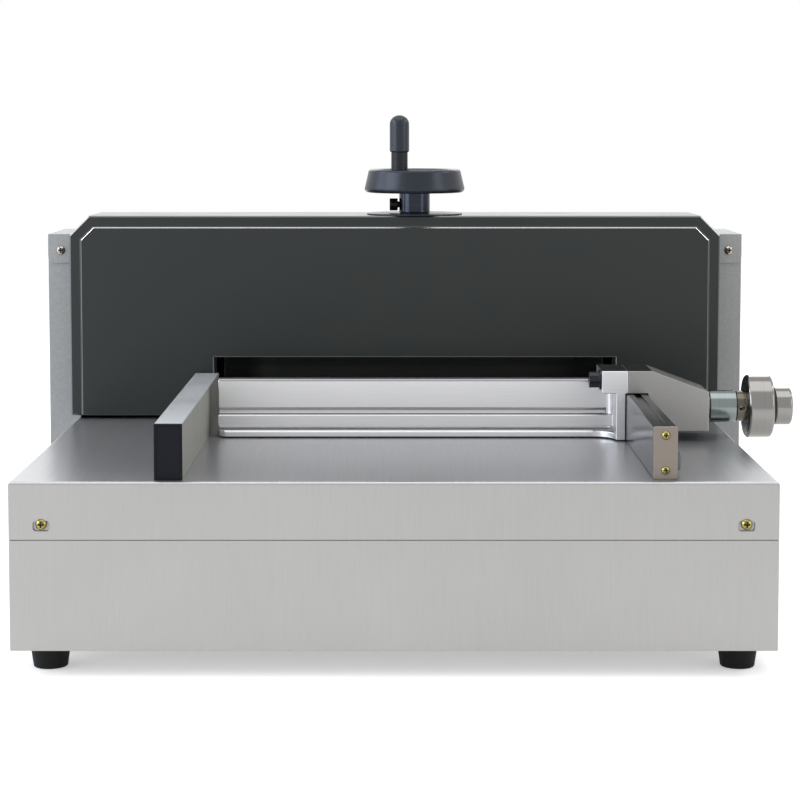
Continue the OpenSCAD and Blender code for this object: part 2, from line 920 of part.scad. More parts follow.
module clamp_screw()
    color("#9b9ea0")
        placed()
            translate([throat_x, clamp_y, 0]) {
                rod_z(clamp_screw_d, clamp_open + 1, beam_z - seat - collar_t + eps);
                rod_z(clamp_screw_d + 8, beam_z - seat - collar_t, beam_z - seat);
                rod_z(clamp_journal_d, beam_z - seat - eps, journal_top);
            }

// Hand wheel
rim_in_r = wheel_d / 2 - 10;
rim_r = 3.5;
web_lift = 4;
set_screw_z = wheel_z + hub_l * 0.4;
set_shank_d = set_screw_d / 2;
set_head_x = -hub_d / 2 - 1.2;
set_head_l = 7;

module hand_wheel()
    color("#1d1e1f")
        placed()
            translate([throat_x, clamp_y, 0])
                difference() {
                    union() {
                        rod_z(hub_d, wheel_z, rim_z + web_lift + eps);
                        rotate_extrude()
                            wheel_outline();
                    }
                    rod_z(clamp_journal_d + 2 * run, wheel_z - past, journal_top + seat);
                    translate([crank_x, crank_y, 0])
                        rod_z(shank_d + 2 * run, rim_top - wheel_bore_l, rim_top + past);
                    translate([0, 0, set_screw_z])
                        rod_x(set_shank_d + 2 * run, -hub_d / 2 - past, 0);
                }

// Half section of the wheel: a round-edged tapered rim and a dished web
module wheel_outline() {
    polygon([
        [0, rim_z + web_lift], [rim_in_r, rim_z + web_lift], [rim_in_r + web_lift, rim_z],
        [wheel_d / 2 - rim_r, rim_z], [wheel_d / 2, rim_z + rim_r], [wheel_top_d / 2, rim_top - rim_r],
        [wheel_top_d / 2 - rim_r, rim_top], [rim_in_r + rim_r, rim_top],
        [rim_in_r, rim_top - wheel_dish], [0, rim_top - wheel_dish]]);
    translate([wheel_d / 2 - rim_r, rim_z + rim_r])
        circle(rim_r);
    translate([wheel_top_d / 2 - rim_r, rim_top - rim_r])
        circle(rim_r);
}

module wheel_set_screw()
    color("#17181a")
        placed()
            translate([throat_x, clamp_y, set_screw_z]) {
                rod_x(set_shank_d, set_head_x - eps, -clamp_journal_d / 2 - seat);
                rod_x(set_screw_d, set_head_x - set_head_l, set_head_x);
            }

module crank_shank()
    color("#202223")
        placed()
            translate([throat_x + crank_x, clamp_y + crank_y, 0]) {
                rod_z(shank_d, rim_top - wheel_bore_l + seat, shank_top);
                rod_z(spindle_d, shank_top - eps, shank_top + spindle_l);
            }

grip_r = grip_d * 0.48;
grip_low_r = 1.5;
spindle_l = grip_l * 0.75;

module crank_grip()
    color("#19191a")
        placed()
            translate([throat_x + crank_x, clamp_y + crank_y, shank_top + seat])
                difference() {
                    rotate_extrude()
                        grip_outline();
                    rod_z(spindle_d + 2 * run, -past, spindle_l + seat);
                }

// Half section of the grip, rounded over at its top and a little at its lower end
module grip_outline() {
    translate([0, grip_low_r])
        square([grip_d / 2, grip_l - grip_r - grip_low_r]);
    square([grip_d / 2 - grip_low_r, grip_low_r + eps]);
    translate([grip_d / 2 - grip_low_r, grip_low_r])
        circle(grip_low_r);
    intersection() {
        square([grip_d / 2, grip_l]);
        translate([grip_d / 2 - grip_r, grip_l - grip_r])
            union() {
                circle(grip_r);
                translate([-grip_d, 0])
                    square([grip_d, grip_r]);
            }
    }
}

// Knife
knife_bolt_pitch = (knife_l - 2 * bolt_margin) / (knife_bolts - 1);
knife_bolt_z = carrier_z + carrier_h / 2;
knife_bolt_end = knife_y + 2;

module at_knife_bolts()
    for (i = [0 : knife_bolts - 1])
        translate([throat_x + (i - (knife_bolts - 1) / 2) * knife_bolt_pitch, 0, knife_bolt_z])
            children();

module knife()
    color("#c9cdd0")
        placed()
            difference() {
                along_x_outline(throat_x - knife_l / 2, throat_x + knife_l / 2)
                    polygon([
                        [knife_y, knife_open], [knife_front, knife_open + bevel_h],
                        [knife_front, knife_top], [knife_y, knife_top]]);
                at_knife_bolts()
                    rod_y(knife_bolt_d + 2 * run, knife_bolt_end, knife_front + past);
            }

module knife_carrier()
    color("#77797c")
        placed()
            difference() {
                slab([throat_x - bed_half + 3, knife_front, carrier_z],
                    [throat_x + bed_half - 3, carrier_front, carrier_z + carrier_h]);
                at_knife_bolts()
                    rod_y(knife_bolt_d + 2 * run, knife_front - past, carrier_front + past);
                for (side = columns) {
                    translate([throat_x + side * rod_x, column_y, 0])
                        rod_z(bush_d + 2 * run, carrier_z - past, carrier_z + carrier_h + past);
                    translate([throat_x + side * lead_x, column_y, 0])
                        rod_z(lead_nut_d + 2 * run, carrier_z - past, carrier_z + carrier_h + past);
                }
            }

module knife_bolts_set()
    color("#26282a")
        placed()
            at_knife_bolts()
                difference() {
                    union() {
                        rod_y(knife_bolt_d, knife_bolt_end + seat, carrier_front + eps);
                        rod_y(knife_bolt_d * 1.6, carrier_front, carrier_front + knife_bolt_d);
                    }
                    translate([0, carrier_front + knife_bolt_d / 2, 0])
                        rotate([-90, 0, 0])
                            cylinder(d = knife_bolt_d * 0.85, h = knife_bolt_d, $fn = 6);
                }

// Plain bushes on the guide rods and nuts on the lead screws, pressed into the carrier
module carrier_bushes()
    color("#b8974f")
        placed()
            for (side = columns) {
                translate([throat_x + side * rod_x, column_y, 0])
                    sleeve(bush_d, rod_d, carrier_z, carrier_z + carrier_h);
                translate([throat_x + side * lead_x, column_y, 0])
                    sleeve(lead_nut_d, lead_d, carrier_z, carrier_z + carrier_h);
            }

module sleeve(outer_d, shaft_d, z0, z1)
    difference() {
        rod_z(outer_d, z0, z1);
        rod_z(shaft_d + 2 * run, z0 - past, z1 + past);
    }

module guide_rods()
    color("#b9bdc0")
        placed()
            for (side = columns)
                translate([throat_x + side * rod_x, column_y, 0])
                    rod_z(rod_d, seat - rod_seat, beam_z + rod_seat - seat);

// Drive
module lead_screw(side)
    translate([throat_x + side * lead_x, column_y, 0])
        rod_z(lead_d, pulley_z, beam_z + rod_seat);

module left_lead_screw()
    color("#a5a9ac")
        placed()
            lead_screw(-1);

module right_lead_screw()
    color("#a5a9ac")
        placed()
            lead_screw(1);

module screw_pulley(side)
    translate([throat_x + side * lead_x, column_y, 0])
        difference() {
            union() {
                rod_z(pulley_d, pulley_z, pulley_z + pulley_t);
                rod_z(lead_d + 8, pulley_z, pulley_z + pulley_t + 4);
            }
            rod_z(lead_d + 2 * run, pulley_z - past, pulley_z + pulley_t + 5);
        }

module left_pulley()
    color("#4b4e50")
        placed()
            screw_pulley(-1);

module right_pulley()
    color("#4b4e50")
        placed()
            screw_pulley(1);

module screw_bearings()
    color("#d0d3d5")
        placed()
            for (side = columns)
                translate([throat_x + side * lead_x, column_y, 0]) {
                    sleeve(bearing_d, lead_d, -bed_t, bearing_t - bed_t);
                    sleeve(bearing_d, lead_d, beam_z, beam_z + bearing_t);
                }

// Outward direction of the belt's run from one pulley to the next, and its turn round a pulley
function run_angle(i) =
    let (along = belt_points[(i + 1) % 3] - belt_points[i])
    atan2(along[0], -along[1]);
function belt_turn(i) = (run_angle((i + 2) % 3) - run_angle(i) + 720) % 360;
belt_steps = 16;

// Loop round three equal pulleys, with an arc on each
function belt_loop(r) = [
    for (i = [0 : 2])
        for (k = [0 : belt_steps])
            belt_points[i] + polar(r, run_angle((i + 2) % 3) - belt_turn(i) * k / belt_steps)];

module drive_belt()
    color("#1a1a1a")
        placed()
            translate([0, 0, pulley_z + past])
                linear_extrude(pulley_t - 2)
                    difference() {
                        polygon(belt_loop(belt_r + belt_t));
                        polygon(belt_loop(belt_r));
                    }

motor_z = motor_plate_z + motor_plate_t;
motor_bore_l = 24;

module motor()
    color("#3f4346")
        placed()
            translate([throat_x, motor_y, 0])
                difference() {
                    rod_z(motor_d, motor_z, motor_z + motor_h);
                    rod_z(motor_shaft_d + 2 * run, motor_z - past, motor_z + motor_bore_l);
                }

// Pulley on the motor's own shaft
module motor_pulley()
    color("#4b4e50")
        placed()
            translate([throat_x, motor_y, 0]) {
                rod_z(pulley_d, pulley_z, pulley_z + pulley_t);
                rod_z(motor_shaft_d, pulley_z, motor_z + motor_bore_l - 1);
            }

// Guides on the rear table
guide_r = 0.8;

module left_guide_outline()
    round_rect([guide_x - guide_w, 0], [guide_x, guide_h], guide_r);

module left_guide()
    color("#a9abac")
        placed()
            along_y_outline(guide_end - guide_l, guide_end)
                left_guide_outline();

module left_guide_cap()
    color("#222426")
        placed()
            along_y_outline(guide_end - guide_l - cap_t, guide_end - guide_l)
                left_guide_outline();

rail_groove_w = rail_w * 0.3;
rail_groove_t = 1.5;
rail_back = guide_end - rail_l;

module rail_outline()
    round_rect([rail_x, 0], [rail_right, rail_h], rail_r);

module rail_screw_holes()
    for (z = rail_screw_zs)
        translate([rail_x + rail_w / 2, rail_back, z])
            rod_y(screw_d + 2 * run, -end_plate_t - past, screw_l);

module right_rail()
    color("#7d7972")
        placed()
            difference() {
                along_y_outline(rail_back, guide_end)
                    rail_outline();
                slab([rail_x + (rail_w - rail_groove_w) / 2, rail_back - past, rail_h - rail_groove_t],
                    [rail_x + (rail_w + rail_groove_w) / 2, guide_end + past, rail_h + past]);
                rail_screw_holes();
            }

module rail_end_plate()
    color("#857b70")
        placed()
            difference() {
                along_y_outline(rail_back - end_plate_t, rail_back)
                    rail_outline();
                rail_screw_holes();
            }

rack_back = rail_back + 12;
rack_front = guide_end - 4;
tooth_half = rack_pitch / 4 - backlash / 2;
rack_tip_half = tooth_half - gear_m * tan(pressure);
rack_root_half = tooth_half + 1.25 * gear_m * tan(pressure);
rack_root_z = pitch_z - 1.25 * gear_m;
first_tooth = ceil((rack_back + rack_pitch - axis_y) / rack_pitch);
last_tooth = floor((rack_front - rack_pitch - axis_y) / rack_pitch);

function rack_tooth(y) = [
    [y + rack_root_half, rack_root_z], [y + rack_tip_half, pitch_z + gear_m],
    [y - rack_tip_half, pitch_z + gear_m], [y - rack_root_half, rack_root_z]];

// Toothed strip on the rail's outer side, with a tooth space under the pinion at rest
module gauge_rack()
    color("#9a9c9d")
        placed()
            along_x_outline(rail_right, rack_right)
                polygon([
                    [rack_back, rack_root_z], [rack_back, rack_low],
                    [rack_front, rack_low], [rack_front, rack_root_z],
                    for (i = [last_tooth : -1 : first_tooth])
                        each rack_tooth(axis_y + (i - 0.5) * rack_pitch)]);

// Back gauge
fence_x = guide_x + fence_gap;
leg_right = rail_x - seat;
leg_left = leg_right - block_leg_t;
block_z = rail_h + seat;
block_left = saddle_left - block_w;
plate_back = gauge_y - fence_t;
foot_edge = plate_back - fence_foot;
fillet_r = foot_edge - saddle_back;
foot_top = seat + fence_foot_t;
rib_top = rib_low + rib_h;
fence_r = 2;
bolt_d = 8;
bolt_y = saddle_back + 11;
bolt_z = (block_z + saddle_h) / 2 + 1;
bolt_end = saddle_left + 14;

module fence_outline() {
    polygon([
        [gauge_y, seat], [gauge_y, fence_h],
        [plate_back + fence_r, fence_h], [plate_back, fence_h - fence_r],
        [plate_back, rib_top + groove_h + fence_r], [plate_back + fence_r, rib_top + groove_h],
        [plate_back + groove_t, rib_top + groove_h], [plate_back + groove_t, rib_top],
        [plate_back - rib_out, rib_top], [plate_back - rib_out, rib_low], [plate_back, rib_low],
        [plate_back, foot_top], [foot_edge + 1, foot_top], [foot_edge, foot_top - 1], [foot_edge, seat]]);
    for (z = [fence_h - fence_r, rib_top + groove_h + fence_r])
        translate([plate_back + fence_r, z])
            circle(fence_r);
}

module bolt_hole()
    translate([0, bolt_y, bolt_z])
        rod_x(bolt_d + 2 * run, block_left - past, bolt_end + past);

// Fence with a filleted foot and an end block that the saddle is bolted to
module back_gauge()
    color("#c4c6c7")
        placed()
            difference() {
                union() {
                    difference() {
                        along_x_outline(fence_x, leg_left + eps)
                            fence_outline();
                        fence_corner();
                    }
                    slab([leg_left, saddle_back, seat], [leg_right, saddle_front, saddle_h - 1]);
                    slab([block_left, saddle_back, block_z], [saddle_left, saddle_front, saddle_h]);
                    inner_fillet([leg_left, foot_edge, seat], fillet_r, fence_foot_t);
                    inner_fillet([leg_left, plate_back, seat], leg_fillet_r, fence_h - seat);
                }
                bolt_hole();
            }

// Upright fillet in the corner between a face that looks along -Y and one that looks along -X
module inner_fillet(corner, r, h)
    translate(corner - [r, r, 0])
        linear_extrude(h)
            difference() {
                square(r + eps);
                circle(r);
            }

// What rounds off the foot's free corner
module fence_corner() {
    corner_r = fence_foot * 0.5;
    translate([fence_x, foot_edge, 0])
        linear_extrude(rib_low)
            difference() {
                translate([-past, -past])
                    square(corner_r + past);
                translate([corner_r, corner_r])
                    circle(corner_r);
            }
}

shroud_t = 8;
shroud_z = pitch_z + 2 * gear_m;

// Saddle over the rail, with a shroud that closes the room above the rack at the end seen
module gauge_saddle()
    color("#8a8d8e")
        placed()
            difference() {
                intersection() {
                    union() {
                        along_y_outline(saddle_back, saddle_front)
                            polygon([
                                [saddle_left, block_z], [saddle_left, saddle_h],
                                [rail_x + saddle_flat, saddle_h],
                                [saddle_right, saddle_low_h], [saddle_right, saddle_clear],
                                [cheek_x, saddle_clear], [cheek_x, block_z]]);
                        slab([rail_right + seat, saddle_back, shroud_z],
                            [cheek_x + eps, saddle_back + shroud_t, block_z + eps]);
                    }
                    linear_extrude(saddle_h + past)
                        round_rect([saddle_left - 2 * saddle_r, saddle_back],
                            [saddle_right, saddle_front], saddle_r);
                }
                translate([0, axis_y, axis_h]) {
                    rod_x(shaft_d + 2 * run, cheek_x - past, saddle_right + past);
                    rod_x(neck_d + 2 * run, saddle_right - neck_seat, saddle_right + past);
                }
                bolt_hole();
            }

washer_t = 1.6;
bolt_head_l = bolt_d;
bolt_head_x = block_left - washer_t - bolt_head_l;

// Socket-head bolt and washer that hold the saddle to the end block
module gauge_bolt()
    color("#202123")
        placed()
            translate([0, bolt_y, bolt_z])
                difference() {
                    union() {
                        rod_x(bolt_d, block_left - washer_t, bolt_end);
                        rod_x(bolt_d * 2, block_left - washer_t, block_left);
                        rod_x(bolt_d * 1.6, bolt_head_x, block_left - washer_t + eps);
                    }
                    along_x(bolt_head_x - past)
                        cylinder(d = bolt_d * 0.85, h = bolt_head_l / 2 + past, $fn = 6);
                }

// Adjusting wheel
neck_seat = 8;
pinion_x = rail_right + 0.5;

function involute(angle) = tan(angle) * 180 / PI - angle;
half_space = 90 / pinion_teeth - backlash / 2 / pitch_r * 180 / PI + involute(pressure);
function half_tooth(r) = half_space - (r > base_r ? involute(acos(base_r / r)) : 0);
function polar(r, angle) = [r * cos(angle), r * sin(angle)];
flank_r = [root_r, for (i = [0 : flank_steps]) base_r + (tip_r - base_r) * i / flank_steps];
flank_n = len(flank_r) - 1;

// One tooth round the pinion, up one flank and down the other
function pinion_tooth(angle) = [
    for (i = [0 : flank_n]) polar(flank_r[i], angle - half_tooth(flank_r[i])),
    for (i = [flank_n : -1 : 0]) polar(flank_r[i], angle + half_tooth(flank_r[i]))];

module pinion_shaft()
    color("#b5b8ba")
        placed()
            translate([0, axis_y, axis_h]) {
                along_x_outline(pinion_x, cheek_x - seat)
                    polygon([
                        for (i = [0 : pinion_teeth - 1])
                            each pinion_tooth(-90 + i * 360 / pinion_teeth)]);
                rod_x(shaft_d, pinion_x, ring_end);
                rod_x(lock_pin_d, ring_end - eps, lock_end - 3);
            }

module shaft_barrel()
    color("#a7a9a8")
        placed()
            translate([0, axis_y, axis_h])
                difference() {
                    union() {
                        rod_x(neck_d, saddle_right - neck_seat + seat, neck_end + eps);
                        rod_x(barrel_d, neck_end, barrel_end);
                    }
                    rod_x(shaft_d + 2 * run, saddle_right - neck_seat - past, barrel_end + past);
                }

// Turned ring with rounded edges
module turned_ring(d, x0, x1, r) {
    l = x1 - x0;
    along_x(x0)
        rotate_extrude() {
            square([d / 2 - r, l]);
            translate([0, r])
                square([d / 2, l - 2 * r]);
            for (z = [r, l - r])
                translate([d / 2 - r, z])
                    circle(r);
        }
}

module adjusting_wheel()
    color("#c9cbcc")
        placed()
            translate([0, axis_y, axis_h])
                difference() {
                    union() {
                        rod_x(dial_hub_d, dial_x, ring_x + eps);
                        turned_ring(dial_d, ring_x, ring_end, ring_r);
                    }
                    rod_x(shaft_d + 2 * run, dial_x - past, ring_end + past);
                    rod_x(lock_d + 4, ring_end - 2, ring_end + past);
                    translate([dial_x + dial_hub_l / 2, 0, 0])
                        rod_y(dial_hub_l * 0.5, -dial_hub_d, 0);
                }

module lock_knob()
    color("#b4b6b6")
        placed()
            translate([0, axis_y, axis_h])
                difference() {
                    turned_ring(lock_d, lock_x, lock_end, ring_r);
                    rod_x(lock_pin_d + 2 * run, lock_x - past, lock_end - 2);
                }

// Guard on the operator's side
guard_top = guard_hinge_z + knuckle_d / 2;
guard_back = hinge_y + 1;
guard_slope = (guard_top - guard_front_h) / (guard_front - guard_back);
guard_skin = guard_t * sqrt(1 + guard_slope * guard_slope);
lug_x = knuckle_l / 2 + seat;
lug_reach = norm([hinge_y - head_front, knuckle_d / 2]);
grip_w = 120;
grip_out = 14;

function guard_roof(y) = guard_top - (y - guard_back) * guard_slope;

module at_hinges()
    for (side = columns)
        translate([throat_x + side * hinge_x, hinge_y, guard_hinge_z])
            children();

// Smoked shell with two cheeks, open below and towards the knife
module safety_guard()
    color("#2c3032", 0.7)
        placed()
            difference() {
                union() {
                    difference() {
                        along_x_outline(throat_x - guard_w / 2, throat_x + guard_w / 2)
                            polygon([
                                [guard_back, guard_low], [guard_back, guard_top],
                                [guard_front, guard_front_h], [guard_front, guard_low]]);
                        along_x_outline(throat_x - guard_w / 2 + guard_t, throat_x + guard_w / 2 - guard_t)
                            polygon([
                                [guard_back - past, guard_low - past],
                                [guard_back - past, guard_roof(guard_back - past) - guard_skin],
                                [guard_front - guard_t, guard_roof(guard_front - guard_t) - guard_skin],
                                [guard_front - guard_t, guard_low - past]]);
                    }
                    at_hinges()
                        rod_x(knuckle_d, -knuckle_l / 2, knuckle_l / 2);
                    slab([throat_x - grip_w / 2, guard_front - eps, guard_grip_z],
                        [throat_x + grip_w / 2, guard_front + grip_out, guard_grip_z + guard_t]);
                }
                at_hinges() {
                    rod_x(hinge_pin_d + 2 * run, -knuckle_l, knuckle_l);
                    for (x0 = [-lug_x - lug_t - seat, lug_x - seat])
                        rod_x(2 * (lug_reach + past), x0, x0 + lug_t + 2 * seat);
                }
            }

module guard_lugs()
    color("#7e8182")
        placed()
            at_hinges()
                for (x0 = [-lug_x - lug_t, lug_x])
                    difference() {
                        union() {
                            rod_x(knuckle_d, x0, x0 + lug_t);
                            slab([x0, head_front - hinge_y, -knuckle_d / 2],
                                [x0 + lug_t, 0, knuckle_d / 2]);
                        }
                        rod_x(hinge_pin_d + 2 * run, x0 - past, x0 + lug_t + past);
                    }

module guard_hinge_pins()
    color("#b9bcbe")
        placed()
            at_hinges()
                rod_x(hinge_pin_d, -lug_x - lug_t, lug_x + lug_t);

// Controls
rocker_y = front_l - rocker_r + 3;
rocker_pin_d = 3;
rocker_frame = [rocker_w + 8, 2 * rocker_r + 6];
rocker_hole = rocker_frame + [0.4, 0.4];
frame_flange = 2;
bezel_barrel_l = 12;

module at_buttons()
    for (side = columns)
        translate([side * button_x, front_l, button_z])
            children();

// Rings round the cut buttons and the frame round the power rocker
module control_bezels()
    color("#26282a")
        placed() {
            at_buttons()
                difference() {
                    union() {
                        rod_y(bezel_d, 0, bezel_t);
                        rod_y(plunger_d + 3.6, -bezel_barrel_l, eps);
                    }
                    rod_y(plunger_d + 2 * run, -bezel_barrel_l - past, bezel_t + past);
                }
            difference() {
                union() {
                    translate([0, 0, button_z])
                        frame_block(rocker_frame + 2 * [frame_flange, frame_flange], front_l,
                            front_l + frame_flange);
                    translate([0, 0, button_z])
                        frame_block(rocker_frame, rocker_y - rocker_r, front_l + eps);
                }
                translate([0, rocker_y, button_z]) {
                    rod_x(2 * (rocker_r + seat), -rocker_w / 2 - seat, rocker_w / 2 + seat);
                    rod_x(rocker_pin_d + 2 * run, -rocker_frame[0], rocker_frame[0]);
                }
            }
        }

module frame_block(size, y0, y1)
    slab([-size[0] / 2, y0, -size[1] / 2], [size[0] / 2, y1, size[1] / 2]);

module cut_button(side)
    translate([side * button_x, front_l, button_z]) {
        rod_y(plunger_d, -bezel_barrel_l, button_out - 5);
        rod_y(button_d, button_out - 6, button_out - 1.5 + eps);
        translate([0, button_out - 1.5, 0])
            rotate([-90, 0, 0])
                cylinder(d1 = button_d, d2 = button_d - 4, h = 1.5);
    }

module left_cut_button()
    color("#2f8f4e")
        placed()
            cut_button(-1);

module right_cut_button()
    color("#2f8f4e")
        placed()
            cut_button(1);

module power_rocker()
    color("#1f1f20")
        placed()
            translate([0, rocker_y, button_z]) {
                along_x_outline(-rocker_w / 2, rocker_w / 2)
                    polygon([
                        [-rocker_r * 0.5, -rocker_r * 0.7], [rocker_r * 0.66, -rocker_r * 0.7],
                        [rocker_r * 0.8, 0],
                        [rocker_r * 0.66, rocker_r * 0.7], [-rocker_r * 0.5, rocker_r * 0.7]]);
                rod_x(rocker_pin_d, -rocker_frame[0] / 2 + 1, rocker_frame[0] / 2 - 1);
            }

inlet_ear = 9;
inlet_lip = 2;
inlet_hole = [inlet_w - 2 * inlet_ear, inlet_h - 2 * inlet_lip];
inlet_socket = inlet_hole - [6, 6];
inlet_l = 20;
inlet_flange = 2;
pin_pitch = 7;

// Mains inlet in the left side panel, with a three-pin socket
module power_inlet()
    color("#222324")
        placed()
            translate([-casing_x, inlet_y, inlet_z]) {
                difference() {
                    union() {
                        slab([-inlet_flange, -inlet_w / 2, -inlet_h / 2], [0, inlet_w / 2, inlet_h / 2]);
                        slab([-eps, seat - inlet_hole[0] / 2, seat - inlet_hole[1] / 2],
                            [inlet_l, inlet_hole[0] / 2 - seat, inlet_hole[1] / 2 - seat]);
                    }
                    slab([-inlet_flange - past, -inlet_socket[0] / 2, -inlet_socket[1] / 2],
                        [inlet_l - 3, inlet_socket[0] / 2, inlet_socket[1] / 2]);
                }
                for (i = [-1 : 1])
                    translate([inlet_l - 3, i * pin_pitch, inlet_socket[1] * (i == 0 ? 0.2 : -0.2)])
                        slab([-12, -1, -2], [eps, 1, 2]);
            }

board_w = 130;
board_d = 80;
board_gap = 40;
post_l = 8;
post_d = 8;
board_t = 1.6;
board_top = post_l + board_t - eps;
transformer_w = 40;
transformer_h = 26;
sink_w = 10;
sink_d = 50;
sink_h = 18;

// Control board on four posts, with a transformer and a heat sink
module control_board()
    color("#2e6b3a")
        placed()
            translate([-board_w / 2, head_front + board_gap, floor_z]) {
                slab([0, 0, post_l], [board_w, board_d, post_l + board_t]);
                for (x = [post_d, board_w - post_d])
                    for (y = [post_d, board_d - post_d])
                        translate([x, y, 0])
                            rod_z(post_d, 0, post_l + eps);
                translate([board_w * 0.25, board_d / 2, board_top])
                    block_on(transformer_w, transformer_w, transformer_h);
                translate([board_w * 0.65, board_d / 2, board_top])
                    block_on(sink_w, sink_d, sink_h);
            }

module block_on(w, d, h)
    slab([-w / 2, -d / 2, 0], [w / 2, d / 2, h]);

base_housing();
rear_table_cover();
rubber_feet();
panhead_screws();
bed_supports();
bed_beam();
left_side_frame();
right_side_frame();
top_beam();
cutting_stick();
front_table();
front_apron();
left_side_panel();
right_side_panel();
head_top_cover();
rear_hood();
wheel_escutcheon();
head_front_cover();
guard_lugs();
guard_hinge_pins();
safety_guard();
clamp_beam();
clamp_nut();
clamp_screw();
hand_wheel();
wheel_set_screw();
crank_shank();
crank_grip();
knife();
knife_carrier();
knife_bolts_set();
carrier_bushes();
guide_rods();
left_lead_screw();
right_lead_screw();
left_pulley();
right_pulley();
screw_bearings();
drive_belt();
motor();
motor_pulley();
left_guide();
left_guide_cap();
right_rail();
rail_end_plate();
gauge_rack();
back_gauge();
gauge_saddle();
gauge_bolt();
pinion_shaft();
shaft_barrel();
adjusting_wheel();
lock_knob();
control_bezels();
left_cut_button();
right_cut_button();
power_rocker();
power_inlet();
control_board();
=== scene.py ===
"""Looks of an electric guillotine paper cutter, seen from its back-gauge side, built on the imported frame."""

import json
import math

import bmesh
import bpy
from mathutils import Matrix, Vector


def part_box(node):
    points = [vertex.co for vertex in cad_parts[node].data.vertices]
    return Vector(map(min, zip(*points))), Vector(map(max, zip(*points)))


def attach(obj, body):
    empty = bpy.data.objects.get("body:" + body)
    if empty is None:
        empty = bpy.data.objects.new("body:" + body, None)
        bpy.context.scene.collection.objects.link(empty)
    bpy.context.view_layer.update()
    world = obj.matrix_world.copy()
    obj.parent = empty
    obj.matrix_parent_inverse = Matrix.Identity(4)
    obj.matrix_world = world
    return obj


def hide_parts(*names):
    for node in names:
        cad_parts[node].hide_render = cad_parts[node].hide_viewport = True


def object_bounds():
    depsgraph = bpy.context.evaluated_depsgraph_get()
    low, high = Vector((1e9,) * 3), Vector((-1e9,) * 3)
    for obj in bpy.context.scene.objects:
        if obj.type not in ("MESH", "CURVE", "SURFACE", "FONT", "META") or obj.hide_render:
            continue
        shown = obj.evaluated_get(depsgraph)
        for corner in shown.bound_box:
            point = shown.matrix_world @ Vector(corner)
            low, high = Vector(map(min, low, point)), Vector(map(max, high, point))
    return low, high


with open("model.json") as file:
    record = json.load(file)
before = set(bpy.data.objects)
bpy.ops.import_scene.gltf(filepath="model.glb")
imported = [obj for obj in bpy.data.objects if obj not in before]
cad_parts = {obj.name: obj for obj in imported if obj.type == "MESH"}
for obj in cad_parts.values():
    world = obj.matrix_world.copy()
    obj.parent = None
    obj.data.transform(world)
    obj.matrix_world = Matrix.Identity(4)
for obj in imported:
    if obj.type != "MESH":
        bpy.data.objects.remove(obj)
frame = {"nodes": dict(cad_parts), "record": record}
cad_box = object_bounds()
nodes = frame["nodes"]
bodies = frame["record"]["behaviour"]["bodies"]
node_slot = {part["node"]: part["material_slot"] for part in frame["record"]["subparts"]}
body_of = {node: body for body, members in bodies.items() for node in members}

MM = 0.001
scene = bpy.context.scene
scene.view_settings.view_transform = "Standard"


def srgb(text):
    """A hex colour as linear RGBA."""
    channels = [int(text[i:i + 2], 16) / 255 for i in (1, 3, 5)]
    return tuple(c / 12.92 if c <= 0.04045 else ((c + 0.055) / 1.055) ** 2.4 for c in channels) + (1.0,)


def add(tree, kind, inputs=None, **settings):
    """Add a node, set its properties, and give each input socket a value or a link."""
    node = tree.nodes.new(kind)
    for key, value in settings.items():
        setattr(node, key, value)
    for key, value in (inputs or {}).items():
        if isinstance(value, bpy.types.NodeSocket):
            tree.links.new(value, node.inputs[key])
        else:
            node.inputs[key].default_value = value
    return node


# Sockets of the Mix node when it mixes colours
FAC, COLOR_A, COLOR_B, COLOR_OUT = 0, 6, 7, 2


# Camera: the photograph's view, from 1.78 m behind the middle of the base, level with the crank grip
IMAGE_PX = 800
FOCAL_PX = 2108
AXIS_PX = (398.7, 281)  # where the camera's axis meets the picture, from its top left corner
SENSOR_MM = 36
TILT_DEG = 4.2
CAMERA_AT = (-0.0063, -1.7766, 0.387)


def make_camera():
    """Set the camera where the photograph was taken from."""
    data = bpy.data.cameras.new("photo_camera")
    data.sensor_width = SENSOR_MM
    data.lens = FOCAL_PX / IMAGE_PX * SENSOR_MM
    data.shift_x = 0.5 - AXIS_PX[0] / IMAGE_PX
    data.shift_y = AXIS_PX[1] / IMAGE_PX - 0.5
    camera = bpy.data.objects.new("photo_camera", data)
    camera.location = CAMERA_AT
    camera.rotation_euler = (math.radians(90 - TILT_DEG), 0, 0)
    scene.collection.objects.link(camera)
    scene.camera = camera


# Stage: a white floor that keeps the shadow, a white surround and soft lamps, in metres and watts
WHITE = (1, 1, 1, 1)
FLOOR_HALF = 6.0  # half the floor's side
FLOOR_DROP = 0.0004  # gap below the feet, so that no two faces lie in one plane
FLOOR_GLOW = 0.385  # what the seen floor lacks to be white
SURROUND_LIGHT = 0.70  # strength of the surround as a lamp
LAMP_AIM = (0, 0, 0.2)
# Each softbox's name, place, width, height, watts and colour
SOFTBOXES = (
    ("overhead_softbox", (0, -0.2, 1.9), 2.0, 1.5, 13, "#ffffff"),
    ("left_softbox", (-1.9, -1.1, 0.9), 1.3, 1.5, 24, "#f0f6ff"),
    ("right_softbox", (1.9, -1.1, 0.9), 0.7, 1.5, 7.5, "#ffffff"),
    ("left_strip", (-2.2, 0.1, 0.75), 0.3, 1.3, 7, "#cfe0ff"),
    ("left_corner_softbox", (-1.84, 0.14, 1.55), 0.5, 0.5, 6, "#ffffff"),
    ("right_corner_softbox", (1.84, 0.14, 1.55), 0.5, 0.5, 6, "#ffffff"),
    ("operator_softbox", (0, 2.2, 1.3), 1.8, 0.8, 10, "#ffffff"),
)


